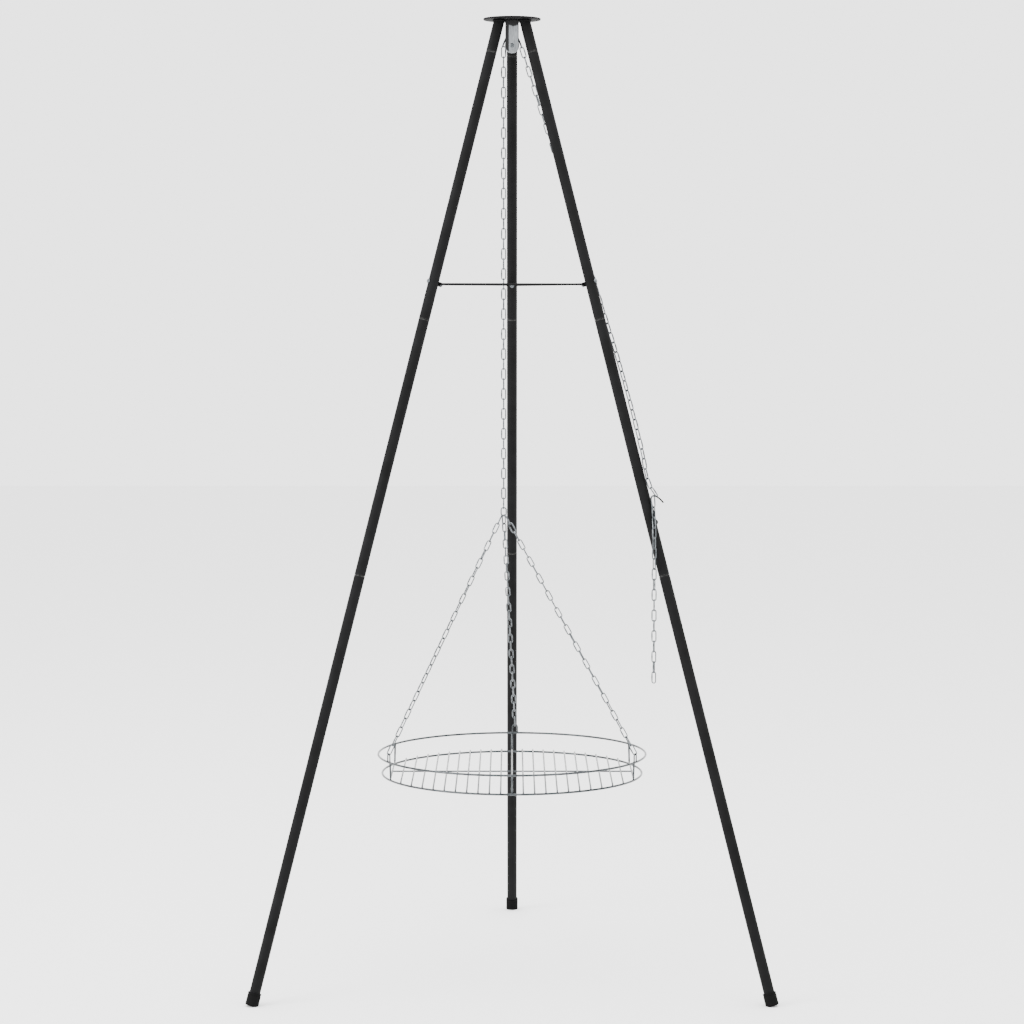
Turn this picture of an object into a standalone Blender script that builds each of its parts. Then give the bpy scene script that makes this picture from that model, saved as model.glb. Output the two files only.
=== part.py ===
"""Campfire tripod with a grate that hangs from a chain and a pulley.

Three plug-together tube legs stand in sockets under a head disc and are braced by three
bars. A chain runs over a pulley under the disc: one end carries a round wire grate on
three short chains, the other end hooks onto a leg, so the grate can be raised.

Metres, +Z up. The ground is Z = 0 and the object's box is centred on the origin in X and Y.
"""

import math

import bmesh
import bpy
from mathutils import Matrix, Vector

# Gaps between pieces
GAP = 0.0003  # between pieces that touch
PLAY = 0.0006  # between chain pieces that swing on each other
AXLE_PLAY = 0.00006  # round the axle in the wheel

# Tripod
HEIGHT = 1.800  # ground to the head disc's upper face
FOOT_CIRCLE = 0.5455  # radius of the circle on which the leg axes meet the ground
SOCKET_SPACE = 0.0043  # beside the pulley's housing, for the sockets under the disc
LEG_AZIMUTHS = (210.0, 330.0, 90.0)
LEG_NAMES = ("left", "right", "rear")
TUBE_RADIUS = 0.0100
TUBE_WALL = 0.0012
SOCKET_LENGTH = 0.0632  # of the short tube under the disc, along the leg
UPPER_LENGTH = 0.5153
MIDDLE_LENGTH = 0.4866
SPIGOT_LENGTH = 0.045
SWAGE_LENGTH = 0.006  # over which a tube narrows to its spigot
RIM_CHAMFER = 0.0006
JOINT_GAP = 0.0005  # the line that shows where two leg tubes meet
TUBE_SIDES = 24

# Head disc
DISC_RADIUS = 0.0535
DISC_THICKNESS = 0.003
DISC_BEVEL = 0.0004

# Foot caps
CAP_WALL = 0.0019
CAP_HEIGHT = 0.024
CAP_FLOOR = 0.004
CAP_ROUNDING = 0.0015
SOLE_CUT = 0.0026  # how deep the flat sole is cut into the cap's lower edge

# Brace bars and their bolts
BRACE_DROP = 0.4875  # from the disc's underside down to where the bolts cross the leg axes
BRACE_RADIUS = 0.0020
BRACE_EYE_RADIUS = 0.0045
BRACE_EYE_THICKNESS = 0.0016
BRACE_TONGUE = 0.0085  # bolt axis to where the flat end becomes a round bar
BOLT_RADIUS = 0.0025
BOLT_HEAD_RADIUS = 0.0044
BOLT_HEAD_HEIGHT = 0.0030
BOLT_END = 0.0015  # that stands out of the nut
NUT_ACROSS_FLATS = 0.0080
NUT_HEIGHT = 0.0038

# Pulley
AXLE_DROP = 0.0474  # from the disc's underside to the wheel's axle
HOUSING_WIDTH = 0.0250
HOUSING_WALL = 0.0015
HOUSING_FLANGE = 0.0030  # how far the cheeks' long edges fold back
HOUSING_FOLD_RISE = 0.0125  # from the axle up to where the folded edges begin
HOUSING_TOE = 0.0131  # from the axle down to the cheeks' lower end
AXLE_RADIUS = 0.0030
AXLE_HEAD_RADIUS = 0.0042
AXLE_HEAD_HEIGHT = 0.0013
WHEEL_RIM = 0.0135
WHEEL_RIM_WIDTH = 0.0016
WHEEL_BOSS_RADIUS = 0.0060
WHEEL_BOSS_STEP = 0.0014  # how far the boss stands out beside the rim
HANGER_RADIUS = 0.0030
HANGER_HEAD_RADIUS = 0.0055
HANGER_HEAD_HEIGHT = 0.0022
HANGER_NUT_ACROSS_FLATS = 0.0100
HANGER_NUT_HEIGHT = 0.0045

# Chain
CHAIN_WIDTH = 0.0096  # across a link
CHAIN_CORE = 0.0050  # across the solid run that stands for a hanging run of links
CHAIN_PATH = 0.0158  # radius of the chain's middle on the wheel
LINK_WIRE = 0.0020
LINK_PITCH = 0.0186
SPREAD_CLEARANCE = 0.0018  # between the upper ends of the three short chains
RETURN_ANGLE = 17.4  # degrees from straight down at which it leaves the wheel
RETURN_CLEARANCE = 0.0073  # from the tube's surface to the chain that winds round it
RETURN_WIND_TOP = 0.3135  # above the hook, where it reaches the leg
RETURN_WIND_END = 0.0275  # above the hook, where it is beside it
RETURN_WIND_ANGLES = (44.0, -34.0)  # azimuths of the chain round the leg at these heights
RETURN_END_LIFT = 0.0050  # from the hook's wire up to the end of the returning run
TAIL_TOP_DROP = 0.0075  # from the hook's wire down to the top of the loose end
TAIL_LENGTH = 0.3340
TAIL_CLEARANCE = 0.0065  # past the tube's radius, to the loose end in front of the leg

# Hook on the right leg
HOOK_DROP = 0.8845  # from the disc's underside down to beside the hook's arch
HOOK_TURN = -8.0  # degrees round the leg from straight outwards, to the front
HOOK_WIRE = 0.0015
HOOK_STEM = 0.0460  # from the arch down to the screw
HOOK_SEAT_OUT = 0.0100  # from the tube's surface out to where the chain sits
HOOK_TIP_OUT = 0.0295  # from the tube's surface out to the tip
HOOK_RISE = 0.0067  # of the arch over the point on the leg's axis
HOOK_TIP_DROP = 0.0112  # from the arch down to the tip
HOOK_EYE_RADIUS = 0.0050
HOOK_EYE_THICKNESS = 0.0018
HOOK_SCREW_RADIUS = 0.0020
HOOK_SCREW_HEAD_RADIUS = 0.0038
HOOK_SCREW_HEAD_HEIGHT = 0.0022
HOOK_SCREW_LENGTH = 0.0060

# Gathering ring, an oval of wire
RING_DROP = 0.8710  # from the axle down to the ring's middle
RING_HALF_WIDTH = 0.0047
RING_HALF_LENGTH = 0.0080
RING_WIRE = 0.00125

# Grate
GRATE_HEIGHT = 0.3827  # of the lower ring's middle
GRATE_DEPTH = 0.0361  # between the two rings' middles
LOWER_RING = 0.2460
UPPER_RING = 0.2535
RING_WIRE_RADIUS = 0.0020
BAR_COUNT = 23
BAR_PITCH = 0.0206
BAR_RADIUS = 0.0015
BAR_OVERHANG = 0.0012
CROSS_WIRE_SINK = 0.0006  # how deep the cross wire is welded into the bars
CROSS_WIRE_OVERHANG = 0.0024
UPRIGHT_RADIUS = 0.0018
LUG_WIRE = 0.00125
LUG_HALF_WIDTH = 0.0050  # of the arch that each chain is linked to
LUG_HEIGHT = 0.0165  # from the upper ring's middle to the top of the arch
LUG_SHIFT = 0.0060  # of the arch's middle beside an upright, along the ring

# Derived places
DISC_UNDERSIDE = HEIGHT - DISC_THICKNESS
AXIS_Y = -FOOT_CIRCLE / 4  # the tripod's axis stands behind the box's middle
AXLE_HEIGHT = DISC_UNDERSIDE - AXLE_DROP
# Radius of the circle on which the leg axes meet the disc
HEAD_CIRCLE = HOUSING_WIDTH / 2 + TUBE_RADIUS + SOCKET_SPACE
LEG_RUN = math.hypot(FOOT_CIRCLE - HEAD_CIRCLE, DISC_UNDERSIDE)
LEAN_SIN = (FOOT_CIRCLE - HEAD_CIRCLE) / LEG_RUN
LEAN_COS = DISC_UNDERSIDE / LEG_RUN
BORE_RADIUS = TUBE_RADIUS - TUBE_WALL
SPIGOT_RADIUS = BORE_RADIUS - GAP
CAP_RADIUS = TUBE_RADIUS + GAP + CAP_WALL
CAP_END_HEIGHT = CAP_RADIUS * LEAN_SIN - SOLE_CUT
RING_HEIGHT = AXLE_HEIGHT - RING_DROP
BRACE_HEIGHT = DISC_UNDERSIDE - BRACE_DROP
HOOK_HEIGHT = DISC_UNDERSIDE - HOOK_DROP
HOOK_SEAT = TUBE_RADIUS + HOOK_SEAT_OUT
HOOK_REACH = TUBE_RADIUS + HOOK_TIP_OUT
RETURN_OFFSET = TUBE_RADIUS + RETURN_CLEARANCE
TAIL_LEAN = TUBE_RADIUS + TAIL_CLEARANCE
UPPER_RING_HEIGHT = GRATE_HEIGHT + GRATE_DEPTH
BAR_HEIGHT = GRATE_HEIGHT + RING_WIRE_RADIUS + GAP + BAR_RADIUS
OUTER_BAR_X = BAR_PITCH * (BAR_COUNT // 2)
RIGHT_LEG = LEG_NAMES.index("right")

METALS = {
    "black_coat": ((0.020, 0.020, 0.021), 0.0, 0.42),
    "black_rubber": ((0.012, 0.012, 0.012), 0.0, 0.75),
    "zinc": ((0.55, 0.56, 0.57), 1.0, 0.35),
    "bright_wire": ((0.62, 0.63, 0.64), 1.0, 0.25),
}


# --- helpers -------------------------------------------------------------------------

def clear_scene():
    for old in list(bpy.data.objects):
        bpy.data.objects.remove(old, do_unlink=True)


def material(node, finish):
    colour, metallic, roughness = METALS[finish]
    mat = bpy.data.materials.new(node + "_" + finish)
    mat.use_nodes = True
    shader = mat.node_tree.nodes["Principled BSDF"]
    shader.inputs["Base Color"].default_value = (*colour, 1.0)
    shader.inputs["Metallic"].default_value = metallic
    shader.inputs["Roughness"].default_value = roughness
    return mat


def add(node, data, finish, matrix=None):
    """Puts a mesh or curve in the scene under its node's name."""
    obj = bpy.data.objects.new(node, data)
    bpy.context.scene.collection.objects.link(obj)
    if finish:
        data.materials.append(material(node, finish))
    if matrix:
        obj.matrix_world = matrix
    return obj


def mesh_from(bm, name, smooth=True):
    bmesh.ops.remove_doubles(bm, verts=bm.verts, dist=1e-7)
    bmesh.ops.recalc_face_normals(bm, faces=bm.faces)
    mesh = bpy.data.meshes.new(name)
    bm.to_mesh(mesh)
    bm.free()
    if smooth:
        mesh.shade_smooth()
        mesh.set_sharp_from_angle(angle=math.radians(35))
    return mesh


def lathe(profile, sides, closed):
    """Turns a profile of (radius, height) points about Z; a closed one is a ring or tube."""
    bm = bmesh.new()
    verts = [bm.verts.new((r, 0.0, z)) for r, z in profile]
    edges = [bm.edges.new(pair) for pair in zip(verts, verts[1:])]
    if closed:
        edges.append(bm.edges.new((verts[-1], verts[0])))
    bmesh.ops.spin(bm, geom=verts + edges, cent=(0, 0, 0), axis=(0, 0, 1),
                   angle=math.tau, steps=sides, use_merge=True)
    bmesh.ops.remove_doubles(bm, verts=bm.verts, dist=1e-7)
    return bm


def prism(outline, depth):
    """Extrudes an outline of (x, y) points along Z, from 0 to depth."""
    bm = bmesh.new()
    face = bm.faces.new([bm.verts.new((x, y, 0.0)) for x, y in outline])
    made = bmesh.ops.extrude_face_region(bm, geom=[face])
    moved = [g for g in made["geom"] if isinstance(g, bmesh.types.BMVert)]
    bmesh.ops.translate(bm, vec=(0, 0, depth), verts=moved)
    return bm


def arc(radius, start, end, steps, centre=(0.0, 0.0)):
    """Points on an arc, angles in degrees."""
    angles = [math.radians(start + (end - start) * i / steps) for i in range(steps + 1)]
    return [(centre[0] + radius * math.cos(a), centre[1] + radius * math.sin(a))
            for a in angles]


def box(low, high):
    bm = bmesh.new()
    bmesh.ops.create_cube(bm, size=1.0)
    low = Vector(low)
    high = Vector(high)
    bmesh.ops.scale(bm, vec=high - low, verts=bm.verts)
    bmesh.ops.translate(bm, vec=(low + high) / 2, verts=bm.verts)
    return bm


def smooth_route(points, steps):
    """A smooth curve through the points, with some steps between each two."""
    headings = [(points[1] - points[0]).normalized()]
    for before, here, after in zip(points, points[1:], points[2:]):
        headings.append(((here - before).normalized() + (after - here).normalized()).normalized())
    headings.append((points[-1] - points[-2]).normalized())
    route = []
    for i, (start, end) in enumerate(zip(points, points[1:])):
        length = (end - start).length
        for step in range(steps):
            t = step / steps
            route.append(start * (2 * t**3 - 3 * t**2 + 1) + end * (3 * t**2 - 2 * t**3)
                         + headings[i] * length * (t**3 - 2 * t**2 + t)
                         + headings[i + 1] * length * (t**3 - t**2))
    return route + [points[-1]]


def wire(node, points, radius, finish, closed=False, fineness=2):
    """A round wire along the points."""
    curve = bpy.data.curves.new(node, "CURVE")
    curve.dimensions = "3D"
    curve.bevel_depth = radius
    curve.bevel_resolution = fineness
    curve.use_fill_caps = True
    spline = curve.splines.new("POLY")
    spline.points.add(len(points) - 1)
    for knot, point in zip(spline.points, points):
        knot.co = (*point, 1.0)
    spline.use_cyclic_u = closed
    spline.use_smooth = True
    return add(node, curve, finish)


def hide(obj):
    obj.hide_render = True
    obj.display_type = "WIRE"
    return obj


def boolean(obj, tool, operation):
    modifier = obj.modifiers.new(tool.name, "BOOLEAN")
    modifier.operation = operation
    modifier.solver = "EXACT"
    modifier.object = hide(tool)


def frame(origin, x_axis, y_axis, z_axis):
    """A placement from an origin and three directions."""
    turn = Matrix((x_axis, y_axis, z_axis)).transposed().to_4x4()
    return Matrix.Translation(origin) @ turn


def along(origin, direction):
    """A placement whose Z runs along a direction."""
    turn = Vector((0, 0, 1)).rotation_difference(Vector(direction)).to_matrix().to_4x4()
    return Matrix.Translation(origin) @ turn


def turned(node, profile, finish, matrix, sides=16, closed=False):
    return add(node, mesh_from(lathe(profile, sides, closed), node), finish, matrix)


# --- leg geometry --------------------------------------------------------------------

class Leg:
    """One leg's axis and the directions around it."""

    def __init__(self, index, turn=0.0):
        azimuth = math.radians(LEG_AZIMUTHS[index])
        ray = Vector((math.cos(azimuth), math.sin(azimuth), 0.0))
        self.name = LEG_NAMES[index]
        self.foot = Vector((0, AXIS_Y, 0)) + ray * FOOT_CIRCLE
        self.head = Vector((0, AXIS_Y, DISC_UNDERSIDE)) + ray * HEAD_CIRCLE
        self.up = (self.head - self.foot).normalized()
        self.outward = Matrix.Rotation(math.radians(turn), 3, "Z") @ ray
        self.normal = (self.outward - self.up * self.outward.dot(self.up)).normalized()
        self.tangent = self.up.cross(self.normal)

    def at_height(self, z):
        return self.foot + self.up * (z / self.up.z)

    def down_from_head(self, distance):
        return self.head - self.up * distance

    def beside(self, z, side, out):
        """A point beside the axis: side is along the tangent, out along the normal."""
        return self.at_height(z) + self.tangent * side + self.normal * out

    def placed(self, origin):
        """A placement with Z up the leg and X outwards."""
        return frame(origin, self.normal, self.tangent, self.up)

    def radial(self, out, z):
        """A point in the leg's upright plane, out from its axis at the same height."""
        return self.at_height(z) + self.outward * out


LEGS = [Leg(i) for i in range(len(LEG_NAMES))]
HOOK_LEG = Leg(RIGHT_LEG, HOOK_TURN)


# --- tripod --------------------------------------------------------------------------

def tube_profile(length, spigot):
    """A tube from 0 to its length, with a narrower spigot below 0 if it has one."""
    top = length - JOINT_GAP
    inner_top = [(TUBE_RADIUS - RIM_CHAMFER, top), (BORE_RADIUS, top)]
    outer = [(TUBE_RADIUS, RIM_CHAMFER), (TUBE_RADIUS, top - RIM_CHAMFER)]
    if not spigot:
        return [(BORE_RADIUS, 0.0), (TUBE_RADIUS - RIM_CHAMFER, 0.0)] + outer + inner_top
    spigot_bore = SPIGOT_RADIUS - TUBE_WALL
    return [
        (spigot_bore, -SPIGOT_LENGTH),
        (SPIGOT_RADIUS - RIM_CHAMFER, -SPIGOT_LENGTH),
        (SPIGOT_RADIUS, -SPIGOT_LENGTH + RIM_CHAMFER),
        (SPIGOT_RADIUS, 0.0),
        (TUBE_RADIUS - RIM_CHAMFER, 0.0),
        *outer,
        *inner_top,
        (BORE_RADIUS, SWAGE_LENGTH),
        (spigot_bore, 0.0),
    ]


def level_top(bm, placement, height):
    """Cuts a tube off level at a world height and closes the cut."""
    plane_point = placement.inverted() @ Vector((*placement.translation.xy, height))
    plane_normal = placement.inverted().to_3x3() @ Vector((0, 0, 1))
    made = bmesh.ops.bisect_plane(
        bm, geom=bm.verts[:] + bm.edges[:] + bm.faces[:], dist=1e-7,
        plane_co=plane_point, plane_no=plane_normal, clear_outer=True)
    rim = [g for g in made["geom_cut"] if isinstance(g, bmesh.types.BMEdge)]
    bmesh.ops.bridge_loops(bm, edges=rim)


def make_leg(leg):
    reach = 0.0
    for piece, length in (("socket", SOCKET_LENGTH), ("upper", UPPER_LENGTH),
                          ("middle", MIDDLE_LENGTH)):
        reach += length
        placement = leg.placed(leg.down_from_head(reach))
        node = leg.name + "_" + piece + "_tube"
        if piece == "socket":
            bm = lathe(tube_profile(length + TUBE_RADIUS, True), TUBE_SIDES, True)
            level_top(bm, placement, DISC_UNDERSIDE - GAP)
            add(node, mesh_from(bm, node), "black_coat", placement)
        else:
            profile = tube_profile(length, True)
            turned(node, profile, "black_coat", placement, TUBE_SIDES, True)
    cap_end = leg.at_height(CAP_END_HEIGHT)
    tube_end = cap_end + leg.up * (CAP_FLOOR + GAP)
    length = (leg.down_from_head(reach) - tube_end).length
    turned(leg.name + "_lower_tube", tube_profile(length, False), "black_coat",
           leg.placed(tube_end), TUBE_SIDES, True)
    make_foot_cap(leg, leg.placed(cap_end))


def make_foot_cap(leg, placement):
    rounding = arc(CAP_ROUNDING, -90, 0, 3, (CAP_RADIUS - CAP_ROUNDING, CAP_ROUNDING))
    profile = [(0.0, 0.0), *rounding, (CAP_RADIUS, CAP_HEIGHT - RIM_CHAMFER),
               (CAP_RADIUS - RIM_CHAMFER, CAP_HEIGHT),
               (TUBE_RADIUS + GAP, CAP_HEIGHT), (TUBE_RADIUS + GAP, CAP_FLOOR),
               (0.0, CAP_FLOOR)]
    bm = lathe(profile, TUBE_SIDES, False)
    inverse = placement.inverted()
    made = bmesh.ops.bisect_plane(
        bm, geom=bm.verts[:] + bm.edges[:] + bm.faces[:], dist=1e-7,
        plane_co=inverse @ Vector((*placement.translation.xy, 0.0)),
        plane_no=inverse.to_3x3() @ Vector((0, 0, -1)), clear_outer=True)
    sole = [g for g in made["geom_cut"] if isinstance(g, bmesh.types.BMEdge)]
    bmesh.ops.edgeloop_fill(bm, edges=sole)
    node = leg.name + "_foot_cap"
    add(node, mesh_from(bm, node), "black_rubber", placement)


def make_disc():
    bevel = DISC_BEVEL
    hole = HANGER_RADIUS + GAP
    profile = [(hole, 0.0), (DISC_RADIUS - bevel, 0.0), (DISC_RADIUS, bevel),
               (DISC_RADIUS, DISC_THICKNESS - bevel), (DISC_RADIUS - bevel, DISC_THICKNESS),
               (hole, DISC_THICKNESS)]
    turned("head_disc", profile, "black_coat",
           Matrix.Translation((0, AXIS_Y, DISC_UNDERSIDE)), 48, True)


def hexagon(across_flats):
    return arc(across_flats / math.sqrt(3), 0, 300, 5)


def nut(node, across_flats, height, bore, matrix):
    obj = add(node, mesh_from(prism(hexagon(across_flats), height), node, False), "zinc", matrix)
    hole = lathe([(0, -height), (bore, -height), (bore, 2 * height), (0, 2 * height)], 16, False)
    boolean(obj, add(node + "_hole", mesh_from(hole, node + "_hole"), None, matrix), "DIFFERENCE")


def pin_profile(radius, length, head_radius, head_height):
    """A shank from 0 down to -length, with a low domed head above 0."""
    return [(0.0, -length), (radius * 0.8, -length), (radius, -length + radius * 0.2),
            (radius, 0.0), (head_radius, 0.0), (head_radius, head_height * 0.4),
            (head_radius * 0.7, head_height * 0.85), (0.0, head_height)]


# How far in from the leg's axis the two flat bar ends on each bolt lie.
EYE_LEVELS = [TUBE_RADIUS + GAP + BRACE_EYE_THICKNESS / 2]
EYE_LEVELS.append(EYE_LEVELS[0] + BRACE_EYE_THICKNESS + GAP)
NUT_LEVEL = EYE_LEVELS[1] + BRACE_EYE_THICKNESS / 2 + GAP


def make_brace_bolt(leg):
    centre = leg.at_height(BRACE_HEIGHT)
    outwards = frame(centre + leg.normal * (TUBE_RADIUS + GAP), leg.tangent, leg.up, leg.normal)
    length = TUBE_RADIUS + GAP + NUT_LEVEL + NUT_HEIGHT + BOLT_END
    turned(leg.name + "_brace_bolt",
           pin_profile(BOLT_RADIUS, length, BOLT_HEAD_RADIUS, BOLT_HEAD_HEIGHT),
           "zinc", outwards, 16)
    inwards = frame(centre - leg.normal * NUT_LEVEL, leg.up, leg.tangent, -leg.normal)
    nut(leg.name + "_brace_nut", NUT_ACROSS_FLATS, NUT_HEIGHT, BOLT_RADIUS + GAP, inwards)
    tube = bpy.data.objects[leg.name + "_upper_tube"]
    reach = TUBE_RADIUS * 2
    bore = BOLT_RADIUS + GAP
    hole = lathe([(0, -reach), (bore, -reach), (bore, reach), (0, reach)], 16, False)
    cutter = add(leg.name + "_bolt_hole", mesh_from(hole, "bolt_hole"), None,
                 frame(centre, leg.tangent, leg.up, leg.normal))
    boolean(tube, cutter, "DIFFERENCE")


def flat_end(node, leg, level, side):
    """The flattened end of a brace bar: an eye on the bolt and a tongue to one side."""
    tongue = BRACE_TONGUE + BRACE_RADIUS
    half = BRACE_EYE_RADIUS * 0.8
    outline = arc(BRACE_EYE_RADIUS, 90, 270, 8) + [(tongue, -half * 0.6), (tongue, half * 0.6)]
    bm = prism(outline, BRACE_EYE_THICKNESS)
    across = leg.tangent * side
    origin = leg.at_height(BRACE_HEIGHT) - leg.normal * (level - BRACE_EYE_THICKNESS / 2)
    placement = frame(origin, across, leg.normal.cross(across) * -1, -leg.normal)
    return add(node, mesh_from(bm, node, False), None, placement)


def make_brace(first, second):
    """A bar from one leg to the next one round, under the first's bolt and over the second's."""
    node = "brace_" + first.name + "_" + second.name
    ends = []
    for leg, level, side in ((first, EYE_LEVELS[0], 1.0), (second, EYE_LEVELS[1], -1.0)):
        ends.append(leg.at_height(BRACE_HEIGHT) - leg.normal * level
                    + leg.tangent * side * BRACE_TONGUE)
    bar = ends[1] - ends[0]
    profile = [(0, 0), (BRACE_RADIUS, 0), (BRACE_RADIUS, bar.length), (0, bar.length)]
    obj = turned(node, profile, "black_coat", along(ends[0], bar), 12)
    for leg, level, side in ((first, EYE_LEVELS[0], 1.0), (second, EYE_LEVELS[1], -1.0)):
        boolean(obj, flat_end(node + "_" + leg.name + "_eye", leg, level, side), "UNION")
    for leg in (first, second):
        bore = BOLT_RADIUS + GAP
        reach = NUT_LEVEL
        hole = lathe([(0, -reach), (bore, -reach), (bore, 0), (0, 0)], 16, False)
        cutter = add(node + "_" + leg.name + "_hole", mesh_from(hole, "eye_hole"), None,
                     frame(leg.at_height(BRACE_HEIGHT), leg.tangent, leg.up, leg.normal))
        boolean(obj, cutter, "DIFFERENCE")


# --- pulley --------------------------------------------------------------------------

BOSS_HALF = CHAIN_WIDTH / 2 + GAP + WHEEL_RIM_WIDTH + WHEEL_BOSS_STEP
CHEEK_INNER = BOSS_HALF + GAP
CHEEK_OUTER = CHEEK_INNER + HOUSING_WALL
SLOT_HALF = CHEEK_INNER - HOUSING_FLANGE


def at_axle(offset=(0, 0, 0)):
    return Vector((0, AXIS_Y, AXLE_HEIGHT)) + Vector(offset)


def make_housing():
    """A folded strap: two cheeks, their edges folded back above the wheel, and a crown."""
    half = HOUSING_WIDTH / 2
    top = AXLE_DROP - GAP
    toe = arc(half, 180, 360, 16, (0, half - HOUSING_TOE))
    outline = toe + [(half, top), (-half, top)]
    bm = prism(outline, 2 * CHEEK_OUTER)
    facing = frame(at_axle((0, CHEEK_OUTER, 0)), (1, 0, 0), (0, 0, 1), (0, -1, 0))
    housing = add("pulley_housing", mesh_from(bm, "pulley_housing", False), "zinc", facing)
    inside = half - HOUSING_WALL
    ceiling = top - HOUSING_WALL
    low = -2 * half
    wide = 2 * half
    cuts = {
        "housing_cavity": ((-inside, -CHEEK_INNER, low), (inside, CHEEK_INNER, ceiling)),
        "housing_slot": ((-wide, -SLOT_HALF, low), (wide, SLOT_HALF, ceiling)),
        "housing_sides": ((-wide, -CHEEK_INNER, low), (wide, CHEEK_INNER, HOUSING_FOLD_RISE)),
    }
    for name, (near, far) in cuts.items():
        cutter = add(name, mesh_from(box(near, far), name, False), None,
                     Matrix.Translation(at_axle()))
        boolean(housing, cutter, "DIFFERENCE")
    reach = 2 * CHEEK_OUTER
    for name, bore, placement in (
            ("axle_hole", AXLE_RADIUS + GAP, along(at_axle(), (0, -1, 0))),
            ("hanger_hole", HANGER_RADIUS + GAP, Matrix.Translation(at_axle((0, 0, top))))):
        hole = lathe([(0, -reach), (bore, -reach), (bore, reach), (0, reach)], 16, False)
        boolean(housing, add(name, mesh_from(hole, name), None, placement), "DIFFERENCE")


def make_wheel():
    groove = CHAIN_PATH - CHAIN_WIDTH / 2 - GAP
    groove_half = CHAIN_WIDTH / 2 + GAP
    side = groove_half + WHEEL_RIM_WIDTH
    lip = WHEEL_RIM_WIDTH / 3
    bore = AXLE_RADIUS + AXLE_PLAY
    half_profile = [(bore, BOSS_HALF), (WHEEL_BOSS_RADIUS, BOSS_HALF),
                    (WHEEL_BOSS_RADIUS, side), (WHEEL_RIM - lip, side),
                    (WHEEL_RIM, side - lip), (WHEEL_RIM, side - 2 * lip),
                    (groove, groove_half)]
    profile = half_profile + [(r, -z) for r, z in reversed(half_profile)]
    turned("pulley_wheel", profile, "zinc", along(at_axle(), (0, -1, 0)), 32, True)


def make_axle():
    """A rivet through both cheeks, with a head at each end."""
    end = CHEEK_OUTER + GAP
    dome = [(AXLE_HEAD_RADIUS, end), (AXLE_HEAD_RADIUS, end + AXLE_HEAD_HEIGHT * 0.4),
            (AXLE_HEAD_RADIUS * 0.6, end + AXLE_HEAD_HEIGHT), (0.0, end + AXLE_HEAD_HEIGHT)]
    half_profile = [(AXLE_RADIUS, end)] + dome
    profile = [(r, -z) for r, z in reversed(half_profile)] + half_profile
    turned("pulley_axle", profile, "zinc", along(at_axle(), (0, -1, 0)), 16)


def make_hanger():
    """The bolt that holds the pulley's housing under the disc, and its nut."""
    length = DISC_THICKNESS + GAP + GAP + HOUSING_WALL + HANGER_NUT_HEIGHT + GAP + BOLT_END
    turned("hanger_bolt",
           pin_profile(HANGER_RADIUS, length, HANGER_HEAD_RADIUS, HANGER_HEAD_HEIGHT),
           "zinc", Matrix.Translation((0, AXIS_Y, HEIGHT + GAP)), 20)
    nut_top = DISC_UNDERSIDE - GAP - HOUSING_WALL - GAP
    nut("hanger_nut", HANGER_NUT_ACROSS_FLATS, HANGER_NUT_HEIGHT, HANGER_RADIUS + GAP,
        Matrix.Translation((0, AXIS_Y, nut_top - HANGER_NUT_HEIGHT)))


# --- chain ---------------------------------------------------------------------------

HANG = at_axle((-CHAIN_PATH, 0, 0))  # where the chain leaves the wheel to hang down
RING_CENTRE = Vector((HANG.x, HANG.y, RING_HEIGHT))


def oval(half_width, half_length, steps):
    """Points on an oval with straight sides, long along Z in the XZ plane."""
    straight = half_length - half_width
    upper = arc(half_width, 0, 180, steps, (0, straight))
    lower = arc(half_width, 180, 360, steps, (0, -straight))
    return [Vector((x, 0, z)) for x, z in upper + lower]


def make_top_link():
    """The first hanging link, which swings on the chain over the wheel."""
    half_length = LINK_PITCH / 2 + LINK_WIRE / 2
    half_width = (CHAIN_WIDTH - LINK_WIRE) / 2
    centre = HANG - Vector((0, 0, PLAY + half_length + LINK_WIRE / 2))
    wire("chain_top_link", [centre + p for p in oval(half_width, half_length, 6)],
         LINK_WIRE / 2, "zinc", closed=True)
    return centre.z - half_length - LINK_WIRE / 2


def chain_run(node, points):
    wire(node, points, CHAIN_CORE / 2, "zinc")


def make_chain():
    link_end = make_top_link()
    ring_top = RING_HEIGHT + RING_HALF_LENGTH + RING_WIRE
    chain_run("main_chain", [Vector((HANG.x, HANG.y, link_end - PLAY)),
                             Vector((HANG.x, HANG.y, ring_top + GAP))])
    over = arc(CHAIN_PATH, 180, RETURN_ANGLE, 20)
    wire("pulley_chain", [at_axle((x, 0, z)) for x, z in over], CHAIN_WIDTH / 2, "zinc")
    make_return_chain()
    make_tail()


def hook_seat():
    """The middle of the hook's wire where the chain sits on it."""
    return HOOK_LEG.radial(HOOK_SEAT, HOOK_HEIGHT) + Vector((0, 0, HOOK_RISE))


def make_return_chain():
    """From the wheel past the back of the right leg, round its outer side to the hook."""
    leg = LEGS[RIGHT_LEG]
    angle = math.radians(RETURN_ANGLE)
    down = Vector((math.sin(angle), 0, -math.cos(angle)))
    start = at_axle((CHAIN_PATH * math.cos(angle), 0, CHAIN_PATH * math.sin(angle)))
    points = [start + down * GAP, start + down * CHAIN_WIDTH * 2]
    steps = 5
    for i in range(steps + 1):
        share = i / steps
        above_hook = RETURN_WIND_TOP + (RETURN_WIND_END - RETURN_WIND_TOP) * share
        turn = RETURN_WIND_ANGLES[0] + (RETURN_WIND_ANGLES[1] - RETURN_WIND_ANGLES[0]) * share
        azimuth = math.radians(turn)
        beside = Vector((math.cos(azimuth), math.sin(azimuth), 0)) * RETURN_OFFSET
        points.append(leg.at_height(HOOK_HEIGHT + above_hook) + beside)
    points.append(hook_seat() + Vector((0, 0, HOOK_WIRE + RETURN_END_LIFT)))
    chain_run("return_chain", smooth_route(points, 4))


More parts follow.
